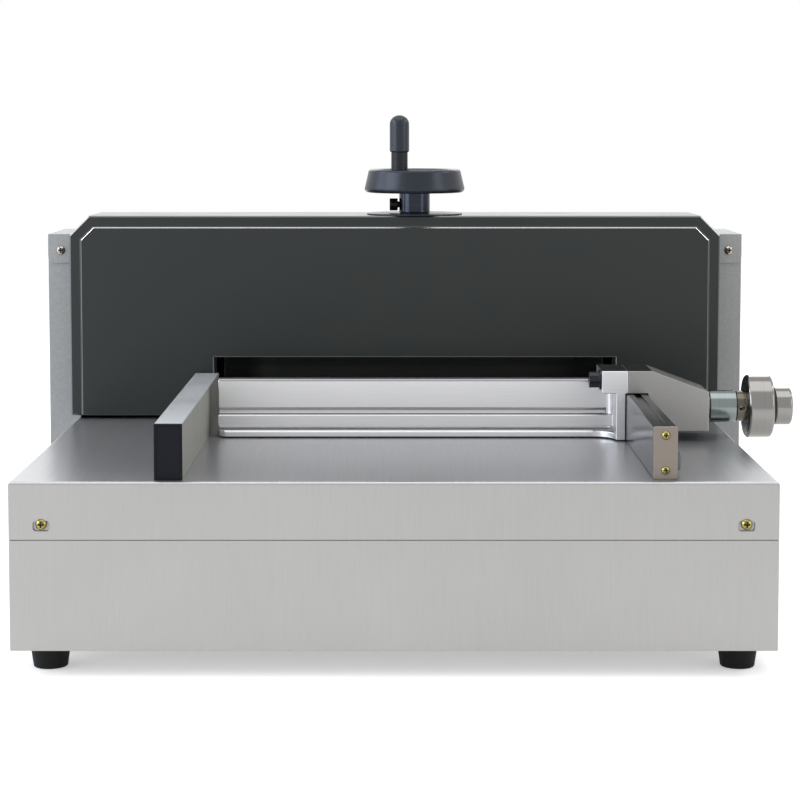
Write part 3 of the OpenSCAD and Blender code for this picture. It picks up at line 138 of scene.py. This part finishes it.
def background_rays(tree):
    """1 for the rays that see the background itself or see it in metal or glass, and 0 for the rest."""
    path = add(tree, "ShaderNodeLightPath").outputs
    seen = add(tree, "ShaderNodeMath", {0: path["Is Camera Ray"], 1: path["Is Glossy Ray"]},
               operation="MAXIMUM")
    return add(tree, "ShaderNodeMath", {0: seen.outputs[0], 1: path["Is Transmission Ray"]},
               operation="MAXIMUM").outputs[0]


def make_surround():
    """Surround the stage with white that lights less than it shows."""
    world = bpy.data.worlds.new("white_surround")
    world.use_nodes = True
    scene.world = world
    tree = world.node_tree
    tree.nodes.clear()
    strength = add(tree, "ShaderNodeMapRange",
                   {"Value": background_rays(tree), "To Min": SURROUND_LIGHT, "To Max": 1.0})
    glow = add(tree, "ShaderNodeBackground", {"Color": WHITE, "Strength": strength.outputs[0]})
    add(tree, "ShaderNodeOutputWorld", {"Surface": glow.outputs[0]})


def make_floor():
    """Lay a matt white sweep under the feet."""
    mesh = bpy.data.meshes.new("pale_floor")
    low = cad_box[0].z - FLOOR_DROP
    corners = [(x * FLOOR_HALF, y * FLOOR_HALF, low) for x, y in ((-1, -1), (1, -1), (1, 1), (-1, 1))]
    mesh.from_pydata(corners, [], [(0, 1, 2, 3)])
    floor = bpy.data.objects.new("pale_floor", mesh)
    scene.collection.objects.link(floor)
    material = bpy.data.materials.new("matt_white_sweep")
    material.use_nodes = True
    tree = material.node_tree
    tree.nodes.clear()
    paint = add(tree, "ShaderNodeBsdfDiffuse", {"Color": srgb("#f3f3f3")})
    strength = add(tree, "ShaderNodeMath", {0: background_rays(tree), 1: FLOOR_GLOW}, operation="MULTIPLY")
    glow = add(tree, "ShaderNodeEmission", {"Color": WHITE, "Strength": strength.outputs[0]})
    both = add(tree, "ShaderNodeAddShader", {0: paint.outputs[0], 1: glow.outputs[0]})
    add(tree, "ShaderNodeOutputMaterial", {"Surface": both.outputs[0]})
    mesh.materials.append(material)


def make_softbox(name, place, width, height, watts, color):
    """Hang one soft lamp that looks at the machine."""
    data = bpy.data.lights.new(name, "AREA")
    data.color = srgb(color)[:3]
    data.shape = "RECTANGLE"
    data.size = width
    data.size_y = height
    data.energy = watts
    lamp = bpy.data.objects.new(name, data)
    lamp.location = place
    lamp.rotation_euler = (Vector(LAMP_AIM) - Vector(place)).to_track_quat("-Z", "Y").to_euler()
    scene.collection.objects.link(lamp)


# Materials: each begins from the real material and how its surface was made.
# Lines, rings and grit that are really finer than 0.5 mm are drawn 0.5 to 1 mm wide, so that they show.
BROAD_MM = 55  # size of the broad noise
FINE_DETAIL = 3.0  # octaves of the fine noise
BROAD_DETAIL = 2.0  # octaves of the broad noise
NOISE_LOW, NOISE_HIGH = 0.3, 0.7  # range that a noise seldom leaves


def surface(name, colors, metallic, roughness, grain_mm, relief_mm, broad=0.04, more=None):
    """A material whose colour and roughness run between two ends, and whose relief rises, with a fine noise.

    grain_mm is the noise's size along X, Y and Z, on Object coordinates, which are the frame's metres.
    A second, broad noise shifts the roughness by up to the given amount, as handling and uneven
    finishing do. A material keeps its whole range of roughness on one side of 0.27, because the
    renderer's noise filter takes a rougher surface as a picture of itself and a smoother one as a
    mirror, and mottles one that is both.
    """
    material = bpy.data.materials.new(name)
    material.use_nodes = True
    tree = material.node_tree
    tree.nodes.clear()
    place = add(tree, "ShaderNodeTexCoord").outputs["Object"]
    per_metre = [1 / (size * MM) for size in grain_mm]
    sized = add(tree, "ShaderNodeVectorMath", {0: place, 1: per_metre}, operation="MULTIPLY").outputs[0]
    fine = add(tree, "ShaderNodeTexNoise",
               {"Vector": sized, "Scale": 1.0, "Detail": FINE_DETAIL}).outputs[0]
    cloud = add(tree, "ShaderNodeTexNoise",
                {"Vector": place, "Scale": 1 / (BROAD_MM * MM), "Detail": BROAD_DETAIL}).outputs[0]
    span = add(tree, "ShaderNodeMapRange",
               {"Value": fine, "From Min": NOISE_LOW, "From Max": NOISE_HIGH}).outputs[0]
    tone = add(tree, "ShaderNodeMix", {FAC: span, COLOR_A: srgb(colors[0]), COLOR_B: srgb(colors[1])},
               data_type="RGBA").outputs[COLOR_OUT]
    sheen = add(tree, "ShaderNodeMapRange",
                {"Value": span, "To Min": roughness[0], "To Max": roughness[1]}).outputs[0]
    shift = add(tree, "ShaderNodeMapRange",
                {"Value": cloud, "From Min": NOISE_LOW, "From Max": NOISE_HIGH,
                 "To Min": -broad, "To Max": broad}).outputs[0]
    uneven = add(tree, "ShaderNodeMath", {0: sheen, 1: shift}, operation="ADD", use_clamp=True).outputs[0]
    bump = add(tree, "ShaderNodeBump", {"Height": fine, "Distance": relief_mm * MM}).outputs[0]
    shader = add(tree, "ShaderNodeBsdfPrincipled",
                 {"Base Color": tone, "Metallic": metallic, "Roughness": uneven, "Normal": bump,
                  **(more or {})})
    add(tree, "ShaderNodeOutputMaterial", {"Surface": shader.outputs[0]})
    return material


def make_materials():
    """One material for each slot of the record."""
    return {
        # Silver enamel sprayed over linished sheet: a soft metallic grey, faintly streaked upright.
        # The 0.15 mm streaks are drawn 0.8 mm wide, so that they show.
        "base_paint": surface("silver_enamel_linished", ("#a3a2a0", "#a7a6a4"), 0.8, (0.42, 0.46),
                              (0.8, 0.8, 30), 0.0),
        # Stainless sheet, brushed from the fence towards the hood: long blurred mirror images.
        # The 0.1 mm scratches are drawn 0.7 mm wide, so that they show.
        "table_steel": surface("stainless_brushed", ("#a7a8ab", "#b4b5b8"), 0.80, (0.285, 0.30),
                               (0.7, 60, 25), 0.0, broad=0.002),
        # Powder coat, dark and satin: a fine orange peel that breaks up the highlights.
        "hood_paint": surface("powder_coat_dark", ("#1d2120", "#222625"), 0.0, (0.40, 0.46),
                              (0.9, 0.9, 0.9), 0.012, more={"Specular IOR Level": 0.35}),
        # Hammer-finish enamel, mid grey: a mottled tone over a low dimpled relief.
        "casing_paint": surface("hammer_enamel_grey", ("#8f9192", "#999b9b"), 0.0, (0.40, 0.50),
                                (2.2, 2.2, 2.2), 0.03),
        # Mild steel, milled and oiled: dull grey with cutter lines.
        "machined_steel": surface("mild_steel_milled", ("#5c5f62", "#6c7073"), 1.0, (0.34, 0.46),
                                  (1.2, 1.2, 14), 0.01),
        # Tool steel, surface ground across the edge: bright and finely lined.
        "knife_steel": surface("tool_steel_ground", ("#c2c5c8", "#d0d3d6"), 1.0, (0.14, 0.20),
                               (0.5, 20, 20), 0.003),
        # Free-cutting steel, turned and polished: bright, with faint rings round the turning axis along X.
        "bright_steel": surface("steel_turned_polished", ("#84827f", "#898785"), 1.0, (0.13, 0.16),
                                (0.6, 80, 80), 0.0),
        # Aluminium extrusion, brushed along its length and clear anodised: light satin grey.
        # The 0.1 mm lines are drawn 0.6 mm wide, so that they show.
        "aluminium": surface("aluminium_extruded_anodised", ("#d4d4d6", "#dbdbdc"), 1.0, (0.31, 0.37),
                             (50, 0.6, 0.6), 0.0, broad=0.02),
        # Die-cast aluminium, tumbled: satin grey with a fine sandy skin.
        "cast_aluminium": surface("aluminium_die_cast_tumbled", ("#8e8d8b", "#9a9997"), 0.9, (0.33, 0.38),
                                  (0.7, 0.7, 0.7), 0.012),
        # Bar steel, ground and hard chromed: a soft mirror, neutral grey.
        "rail_finish": surface("steel_ground_chromed", ("#63666b", "#676a6f"), 1.0, (0.20, 0.22),
                               (0.6, 30, 0.6), 0.0, broad=0.01),
        # Steel, zinc plated and yellow passivated: straw colour drifting to green.
        "yellow_zinc": surface("steel_yellow_zinc", ("#7d7238", "#a69b62"), 1.0, (0.15, 0.21),
                               (3, 3, 3), 0.005),
        # Steel, black oxide in oil: blue black with a soft gloss.
        "black_steel": surface("steel_black_oxide", ("#1f2023", "#2a2b2e"), 0.8, (0.33, 0.42),
                               (0.8, 0.8, 0.8), 0.004),
        # Brass bar, turned: warm yellow with fine rings.
        "brass": surface("brass_turned", ("#a98a45", "#bf9d56"), 1.0, (0.15, 0.21),
                         (20, 20, 0.5), 0.004),
        # Phenolic and ABS, moulded black: slightly glossy, with a faint flow pattern. Its blue specular tint
        # is a painted blue cast on its reflections.
        "black_plastic": surface("phenolic_moulded_black", ("#101318", "#15191f"), 0.0, (0.32, 0.36),
                                 (1.1, 1.1, 1.1), 0.006, more={"Specular Tint": srgb("#e4edff")}),
        # Natural rubber, moulded: matt near-black with a dusty bloom.
        "foot_rubber": surface("rubber_moulded_foot", ("#101010", "#181716"), 0.0, (0.62, 0.78),
                               (1.0, 1.0, 1.0), 0.02, more={"Specular IOR Level": 0.2}),
        # Neoprene, moulded on cords: matt black.
        "belt_rubber": surface("neoprene_moulded_belt", ("#101010", "#191919"), 0.0, (0.6, 0.75),
                               (0.9, 0.9, 0.9), 0.02),
        # Acrylic sheet, smoked and folded: glossy, dark grey and see-through.
        "smoked_plastic": surface("acrylic_smoked_folded", ("#070808", "#0a0a0b"), 0.0, (0.04, 0.08),
                                  (6, 6, 6), 0.002, broad=0.01,
                                  more={"Transmission Weight": 0.85, "IOR": 1.49, "Specular IOR Level": 0.3}),
        # ABS, moulded green: an even colour under a light gloss.
        "green_plastic": surface("abs_moulded_green", ("#1e7a3f", "#248546"), 0.0, (0.16, 0.21),
                                 (1.0, 1.0, 1.0), 0.008),
        # Polypropylene strip, extruded red: waxy, with long draw lines.
        "red_plastic": surface("polypropylene_extruded_red", ("#a8352a", "#b63f33"), 0.0, (0.40, 0.52),
                               (40, 0.8, 0.8), 0.02),
        # Glass laminate under green resist: smooth, with the weave faintly showing.
        "circuit_board": surface("laminate_green_resist", ("#1f5a30", "#276a3a"), 0.0, (0.33, 0.40),
                                 (0.9, 0.9, 0.9), 0.006),
        # Motor enamel on cast iron: black and slightly lumpy.
        "motor_paint": surface("cast_iron_enamelled", ("#26292a", "#2f3233"), 0.0, (0.40, 0.55),
                               (3, 3, 3), 0.06),
    }


def make_special_materials():
    """Finishes that a node, or some of its faces, has besides its slot's own."""
    return {
        # Mild steel plate, phosphated: a dull taupe.
        "rail_end_plate": surface("steel_phosphated", ("#7d746c", "#877e75"), 0.5, (0.44, 0.52),
                                  (0.8, 0.8, 0.8), 0.004),
        # Steel, zinc plated and olive passivated, turned: a greenish sheen, with rings round X.
        "shaft_barrel": surface("steel_olive_zinc", ("#7a8181", "#808787"), 1.0, (0.18, 0.21),
                                (0.6, 80, 80), 0.0),
        # Aluminium extrusion, etched matt and anodised: an even pale grey with a blue cast.
        "left_guide": surface("aluminium_etched_anodised", ("#a9adb1", "#b1b5b9"), 0.6, (0.46, 0.54),
                              (0.6, 40, 0.6), 0.0),
        # The same extrusion on the guide's inner side: darker and warmer, painted shade.
        "shaded_side": surface("aluminium_shaded_side", ("#8f9088", "#97988f"), 0.6, (0.44, 0.52),
                               (0.6, 40, 0.6), 0.0),
        # Nylon, moulded and black: a dull cap that takes little light.
        "left_guide_cap": surface("nylon_moulded_black", ("#101218", "#14161c"), 0.0, (0.40, 0.48),
                                  (1.1, 1.1, 1.1), 0.006, more={"Specular IOR Level": 0.12}),
        # Socket screw, black oxide and polished by the key: small sharp highlights.
        "gauge_bolt": surface("screw_steel_polished", ("#2b2b31", "#36363d"), 1.0, (0.10, 0.16),
                              (0.8, 0.8, 0.8), 0.0),
        # Steel, bright zinc plated: silver with a faint brown stain.
        "bright_zinc": surface("steel_bright_zinc", ("#b9b4ad", "#8d7f70"), 1.0, (0.14, 0.20),
                               (2, 2, 2), 0.004),
        # Steel, turned, darker and browner than the ring: a brownish half mirror, on the adjusting wheel's
        # collar.
        "collar": surface("steel_turned_dark", ("#56524a", "#605c54"), 1.0, (0.16, 0.21),
                          (0.6, 80, 80), 0.0),
        # Enamelled sheet with a bright metal line along the panel's edge: a thin light line, a painted
        # highlight that the lamps brighten further.
        "panel_line_highlight": surface("enamel_panel_line_highlight", ("#c2c2c2", "#cacaca"), 1.0, (0.18, 0.21),
                              (0.6, 0.6, 0.6), 0.0),
        # The same cut in matt mid grey: a grey line, a painted highlight along the throat's edge and the
        # panel's upright sides.
        "grey_line_highlight": surface("enamel_grey_line_highlight", ("#767878", "#808282"), 0.0, (0.40, 0.48),
                            (0.6, 0.6, 0.6), 0.0),
        # Powder coat that has flowed level on the hood's top: smooth, so that a low look mirrors the room.
        "coat_level": surface("powder_coat_level", ("#1d2120", "#222625"), 0.0, (0.12, 0.15),
                              (0.9, 0.9, 0.9), 0.0),
        # Powder coat on the hood's outer edge: smoother than the flat, and lighter, which paints a highlight
        # along the edge.
        "coat_edge": surface("powder_coat_edge_highlight", ("#2a2e2d", "#323635"), 0.0, (0.17, 0.21),
                             (0.9, 0.9, 0.9), 0.0, more={"Specular IOR Level": 1.0}),
        # Steel, black oxide and polished: the wheel's hub, a dark mirror.
        "hub": surface("steel_black_oxide_polished", ("#2c3038", "#363b44"), 1.0, (0.10, 0.15),
                       (20, 20, 0.6), 0.0),
        # Zinc primer, sprayed thin on the inside of a cover: matt black, which also serves as painted shade
        # inside the throat.
        "primer_and_shade": surface("zinc_primer_and_shade_black", ("#0b0b0b", "#121212"), 0.0, (0.6, 0.7),
                          (0.8, 0.8, 0.8), 0.01, more={"Specular IOR Level": 0.1}),
        # Aluminium, milled: a grey mirror with fine cutter lines, darker than the extrusion, so that on the
        # fence's upper edge and rib top it is painted shade.
        "milled_top_and_shade": surface("aluminium_milled_and_shade", ("#8b8a8c", "#929193"), 1.0, (0.10, 0.13),
                              (30, 0.5, 30), 0.0),
    }


# Pieces: each CAD node that shows has a copy whose edges are rounded to the real one's radius in mm
EDGE_RADIUS = {
    "base_housing": 0.5, "rear_table_cover": 0.4, "rubber_feet": 0.8, "panhead_screws": 0.15,
    "cutting_stick": 0.3, "front_table": 0.4, "front_apron": 0.3, "left_side_panel": 0.5,
    "right_side_panel": 0.5, "head_top_cover": 0.5, "rear_hood": 0.6, "wheel_escutcheon": 0.4,
    "head_front_cover": 0.5, "guard_lugs": 0.4, "safety_guard": 0.2, "hand_wheel": 0.8,
    "crank_shank": 0.05, "crank_grip": 0.3, "wheel_set_screw": 0.5, "left_guide": 0.3,
    "left_guide_cap": 0.5, "right_rail": 0.4, "rail_end_plate": 0.5, "gauge_rack": 0.15,
    "back_gauge": 0.7, "gauge_saddle": 0.7, "gauge_bolt": 0.3, "shaft_barrel": 0.5,
    "pinion_shaft": 0.2, "adjusting_wheel": 0.5, "lock_knob": 0.4, "control_bezels": 0.5,
    "left_cut_button": 0.6, "right_cut_button": 0.6, "power_inlet": 0.4, "power_rocker": 0.5,
    "clamp_beam": 0.5, "knife_carrier": 0.5, "guide_rods": 0.3, "top_beam": 0.5,
}
EDGE_DEG = 30  # an edge that turns by more than this is rounded
SHEET_DEG = 50  # the same on sheet whose cut or folded edges stay as they are
BEVEL_STEPS = 3  # faces across a rounded edge
BEVEL_ROUND = 0.5  # a bevel's round profile
FLAT_DEG = 0.3  # faces that meet at less than this are made one
FLAT_WEIGHT = 100  # how firmly large faces stay flat to the light
WELD_MM = 0.02  # points nearer than this are made one

# Places in a piece's list of materials
FIRST, SECOND, THIRD = range(3)
NEIGHBOUR = -1  # stands for the material of the faces beside a rounded edge

# How far a face turns to an axis: the part of its normal that lies along it
SQUARE = 0.98
NEARLY = 0.9
MOSTLY = 0.5
HARDLY = 0.1


def at(value, level):
    """True where a coordinate lies on a level."""
    return abs(value - level) < WELD_MM * MM


def cut(shape, edges, width_mm, material, steps=1):
    """Bevel some edges of a mesh and return the new faces."""
    return bmesh.ops.bevel(shape, geom=edges, offset=width_mm * MM, offset_type="OFFSET", segments=steps,
                           profile=BEVEL_ROUND, affect="EDGES", material=material,
                           clamp_overlap=False)["faces"]


def mark(shape, chosen):
    """Give the faces that a rule chooses the second material of their piece."""
    for face in shape.faces:
        if chosen(face):
            face.material_index = SECOND


# Hood: a raised panel with a throat in it. These are its materials, in their order
COAT, PANEL_LINE_HIGHLIGHT, RIM, GREY_LINE_HIGHLIGHT, LEVEL_TOP = range(5)
PANEL_CUT_MM = 0.95
THROAT_CUT_MM = 0.7
HOOD_CUT_MM = 1.1
THROAT_SIDE_MM = 195  # the throat lies within this distance of the hood's middle
THROAT_HIGH_MM = 240  # and below this height


def hood_edges(shape, y, round_throat):
    """The hood's edges at one depth that lie round the throat, or else those on its outline."""
    low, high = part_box("rear_hood")
    middle = (low.x + high.x) / 2

    def near_throat(vert):
        """True for a point round the throat."""
        return abs(vert.co.x - middle) < THROAT_SIDE_MM * MM and vert.co.z < THROAT_HIGH_MM * MM

    return [e for e in shape.edges
            if all(at(v.co.y, y) and near_throat(v) == round_throat for v in e.verts)]


def turns(edge):
    """True where the faces beside an edge meet at an angle that shows."""
    return edge.calc_face_angle(0) > math.radians(EDGE_DEG)


def cut_hood(shape):
    """Cut the panel's outline to a bright flat, grey on its upright sides, the throat's to a grey flat and the
    hood's to a lighter satin one: all painted highlight lines.
    """
    panel_y = min(v.co.y for v in shape.verts)
    hood_y = min(v.co.y for v in shape.verts if not at(v.co.y, panel_y))
    cut(shape, hood_edges(shape, panel_y, False), PANEL_CUT_MM, PANEL_LINE_HIGHLIGHT)
    cut(shape, [e for e in hood_edges(shape, panel_y, True) if turns(e)], THROAT_CUT_MM, GREY_LINE_HIGHLIGHT)
    for face in shape.faces:
        face.smooth = face.material_index == COAT
        # The panel line's upright sides take the grey painted highlight instead.
        if face.material_index == PANEL_LINE_HIGHLIGHT and abs(face.normal.z) < HARDLY:
            face.material_index = GREY_LINE_HIGHLIGHT
        elif face.normal.z > NEARLY and face.calc_center_median().z > THROAT_HIGH_MM * MM:
            face.material_index = LEVEL_TOP
    # The hood's outer edge is rounded in the lighter coat, a painted highlight.
    rim = [e for e in hood_edges(shape, hood_y, False) if turns(e) and e.is_convex]
    for face in cut(shape, rim, HOOD_CUT_MM, RIM):
        face.smooth = False


# Front cover
def prime_and_shade_inside(shape):
    """Leave the faces that look into the machine in matt black primer, which paints the throat's shade."""
    mark(shape, lambda face: face.normal.y < -MOSTLY)


# Apron under the front table
SEAM_MM = 0.28


def close_seams(shape):
    """Draw the apron's ends out towards the side panels, so that no light shows through the seams."""
    low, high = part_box("front_apron")
    for vert in shape.verts:
        if at(vert.co.x, low.x):
            vert.co.x -= SEAM_MM * MM
        elif at(vert.co.x, high.x):
            vert.co.x += SEAM_MM * MM


# Rear table
FOLD_MM = 1.5
FOLD_STEPS = 4


def fold_table(shape):
    """Round the rear table's outer edge to the radius that its sheet was folded to, and paint its apron."""
    low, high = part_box("rear_table_cover")
    mark(shape, lambda face: abs(face.normal.z) < MOSTLY)
    folded = [e for e in shape.edges
              if all(at(v.co.z, high.z) for v in e.verts)
              and (all(at(v.co.y, low.y) for v in e.verts) or all(at(v.co.x, low.x) for v in e.verts)
                   or all(at(v.co.x, high.x) for v in e.verts))]
    cut(shape, folded, FOLD_MM, FIRST, FOLD_STEPS)


# Left guide and its end cap
CAP_FRAME_MM = 1.8
CAP_SINK_MM = 0.35


def shade_guide_side(shape):
    """Paint shade on the guide's inner side with the darker, warmer finish."""
    mark(shape, lambda face: face.normal.x > SQUARE)


def frame_cap(shape):
    """Sink the middle of the cap's end face, which leaves a frame round it."""
    back = min(v.co.y for v in shape.verts)
    low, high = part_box("left_guide_cap")
    inset = CAP_FRAME_MM * MM
    for axis, sign, place in ((0, 1, low.x + inset), (0, -1, high.x - inset),
                              (2, 1, low.z + inset), (2, -1, high.z - inset)):
        end = [f for f in shape.faces if all(at(v.co.y, back) for v in f.verts)]
        geom = dict.fromkeys([*end, *(e for f in end for e in f.edges), *(v for f in end for v in f.verts)])
        normal = Vector()
        normal[axis] = sign
        point = Vector()
        point[axis] = place
        bmesh.ops.bisect_plane(shape, geom=list(geom), plane_co=point, plane_no=normal)
    middle = (low + high) / 2
    end = [f for f in shape.faces if all(at(v.co.y, back) for v in f.verts)]
    inner = min(end, key=lambda f: (f.calc_center_median() - middle).xz.length)
    bmesh.ops.inset_region(shape, faces=[inner], thickness=CAP_SINK_MM * MM, depth=-CAP_SINK_MM * MM)


# Back gauge: the fence with its end block, and the saddle
FOOT_LIFT_MM = 0.7
BLOCK_MM = 32  # the end block lies within this distance of the right end
FENCE_ROUND_MM = 2.0  # radius of the fence's upper edge
FOOT_BELOW_MM = 10  # what lies lower than this on the fence belongs to its foot


def finish_fence(shape):
    """Take the fence's foot clear of the table, which leaves a dark gap, give the block's top the milled
    finish, and give the fence's upper edge and rib top the same darker finish as painted shade.
    """
    low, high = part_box("back_gauge")
    block_x = high.x - BLOCK_MM * MM
    fence_z = max(v.co.z for v in shape.verts if v.co.x < block_x)
    for vert in shape.verts:
        if at(vert.co.z, low.z):
            vert.co.z += FOOT_LIFT_MM * MM

    def milled_and_shaded(face):
        """True for the fence's rounded upper edge and for the level tops of its rib and its block."""
        centre = face.calc_center_median()
        on_fence = centre.x < block_x
        if on_fence and centre.z > fence_z - FENCE_ROUND_MM * MM:
            return face.normal.z > HARDLY and face.normal.y < -HARDLY
        if on_fence and centre.z < low.z + FOOT_BELOW_MM * MM:
            return False
        return face.normal.z > NEARLY

    mark(shape, milled_and_shaded)


def mill_saddle(shape):
    """Show cutter lines on the saddle's level top."""
    mark(shape, lambda face: face.normal.z > SQUARE)


# Adjusting wheel
RING_SHARE = 0.9  # what lies further out than this share of the radius is the ring


def mark_collar(shape):
    """Give the adjusting wheel's collar its own finish."""
    low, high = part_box("adjusting_wheel")
    axis = (low + high) / 2
    ring_r = (high.z - low.z) / 2 * RING_SHARE
    ring_x = min(v.co.x for v in shape.verts if (v.co - axis).yz.length > ring_r)
    mark(shape, lambda face: face.calc_center_median().x < ring_x)


# Hand wheel and crank
RIM_OUT_MM = 20  # what lies further from the axis than this is the rim
HUB_BELOW_MM = 0.5
SHANK_GAP_MM = 0.02
SHANK_TOP_MM = 1.0  # the shank's shoulder lies within this distance below the grip


def mark_hub(shape):
    """Give the faces below the wheel's rim the hub's own finish."""
    low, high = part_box("hand_wheel")
    axis = (low + high) / 2
    rim_z = min(v.co.z for v in shape.verts if (v.co - axis).xy.length > RIM_OUT_MM * MM)
    mark(shape, lambda face: face.calc_center_median().z < rim_z - HUB_BELOW_MM * MM)


def raise_shank(shape):
    """Close the gap below the grip to a hair line."""
    grip_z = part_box("crank_grip")[0].z
    for vert in shape.verts:
        if grip_z - SHANK_TOP_MM * MM < vert.co.z < grip_z:
            vert.co.z = grip_z - SHANK_GAP_MM * MM


# Screws
RECESS_MM = 0.25  # depth from which a face belongs to the cross recess
RECESS_SHARE = 0.45  # the recess's radius as a share of the head's
EAR_SCREW_MM = 250  # the ear screws are above this height


def loose_parts(shape):
    """The sets of joined points that a mesh falls into."""
    left = set(shape.verts)
    while left:
        part = set()
        queue = [left.pop()]
        while queue:
            vert = queue.pop()
            part.add(vert)
            near = {e.other_vert(vert) for e in vert.link_edges} & left
            left -= near
            queue.extend(near)
        yield part


def mark_screws(shape):
    """Plate the ear screws bright, and paint shade into each screw's cross recess in black steel."""
    for screw in loose_parts(shape):
        front = min(v.co.y for v in screw)
        xs = [v.co.x for v in screw]
        zs = [v.co.z for v in screw]
        middle = Vector(((min(xs) + max(xs)) / 2, (min(zs) + max(zs)) / 2))
        recess_r = (max(xs) - min(xs)) / 2 * RECESS_SHARE
        plating = THIRD if min(zs) > EAR_SCREW_MM * MM else FIRST
        for face in {f for v in screw for f in v.link_faces}:
            centre = face.calc_center_median()
            sunk = centre.y > front + RECESS_MM * MM and face.normal.y < MOSTLY
            in_recess = sunk and (centre.xz - middle).length < recess_r
            # The recess faces take black steel as painted shade.
            face.material_index = SECOND if in_recess else plating


# What a node's copy gets besides rounded edges: its own change, further finishes, and how its edges are found
TREATED = {
    "rear_hood": dict(prepare=cut_hood, finishes=("panel_line_highlight", "coat_edge", "grey_line_highlight", "coat_level"),
                      angle=SHEET_DEG, edge_material=RIM),
    "rear_table_cover": dict(prepare=fold_table, finishes=("base_paint",), angle=SHEET_DEG),
    "back_gauge": dict(prepare=finish_fence, finishes=("milled_top_and_shade",)),
    "gauge_saddle": dict(prepare=mill_saddle, finishes=("milled_top_and_shade",)),
    "front_apron": dict(prepare=close_seams),
    "crank_shank": dict(prepare=raise_shank),
    "head_front_cover": dict(prepare=prime_and_shade_inside, finishes=("primer_and_shade",)),
    "adjusting_wheel": dict(prepare=mark_collar, finishes=("collar",)),
    "hand_wheel": dict(prepare=mark_hub, finishes=("hub",)),
    "left_guide": dict(prepare=shade_guide_side, finishes=("shaded_side",)),
    "left_guide_cap": dict(prepare=frame_cap),
    "panhead_screws": dict(prepare=mark_screws, finishes=("black_steel", "bright_zinc")),
}


def dress(node, materials, prepare=None, angle=EDGE_DEG, edge_material=NEIGHBOUR):
    """Show a node by a copy with rounded edges."""
    shape = bmesh.new()
    shape.from_mesh(nodes[node].data)
    bmesh.ops.remove_doubles(shape, verts=shape.verts, dist=WELD_MM * MM)
    bmesh.ops.dissolve_limit(shape, angle_limit=math.radians(FLAT_DEG), verts=shape.verts, edges=shape.edges)
    for face in shape.faces:
        face.smooth = True
    if prepare:
        prepare(shape)
    mesh = bpy.data.meshes.new(node + "_look")
    shape.to_mesh(mesh)
    shape.free()
    piece = bpy.data.objects.new(node + "_look", mesh)
    scene.collection.objects.link(piece)
    for material in materials:
        mesh.materials.append(material)
    bevel = piece.modifiers.new("edge_rounding", "BEVEL")
    bevel.limit_method = "ANGLE"
    bevel.angle_limit = math.radians(angle)
    bevel.width = EDGE_RADIUS[node] * MM
    bevel.segments = BEVEL_STEPS
    bevel.use_clamp_overlap = False
    bevel.material = edge_material
    flat = piece.modifiers.new("flat_faces", "WEIGHTED_NORMAL")
    flat.mode = "FACE_AREA"
    flat.weight = FLAT_WEIGHT
    flat.keep_sharp = True
    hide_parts(node)
    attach(piece, body_of[node])


def main():
    """Set the stage, give every CAD node its finish, and dress the nodes that show."""
    make_camera()
    make_surround()
    make_floor()
    for softbox in SOFTBOXES:
        make_softbox(*softbox)
    slots = make_materials()
    special = make_special_materials()
    looks = {**slots, **special}
    finish = {node: special.get(node, slots[slot]) for node, slot in node_slot.items()}
    for node, cad in nodes.items():
        cad.data.materials.clear()
        cad.data.materials.append(finish[node])
    for node in EDGE_RADIUS:
        treatment = dict(TREATED.get(node, {}))
        further = treatment.pop("finishes", ())
        dress(node, [finish[node], *(looks[name] for name in further)], **treatment)


main()
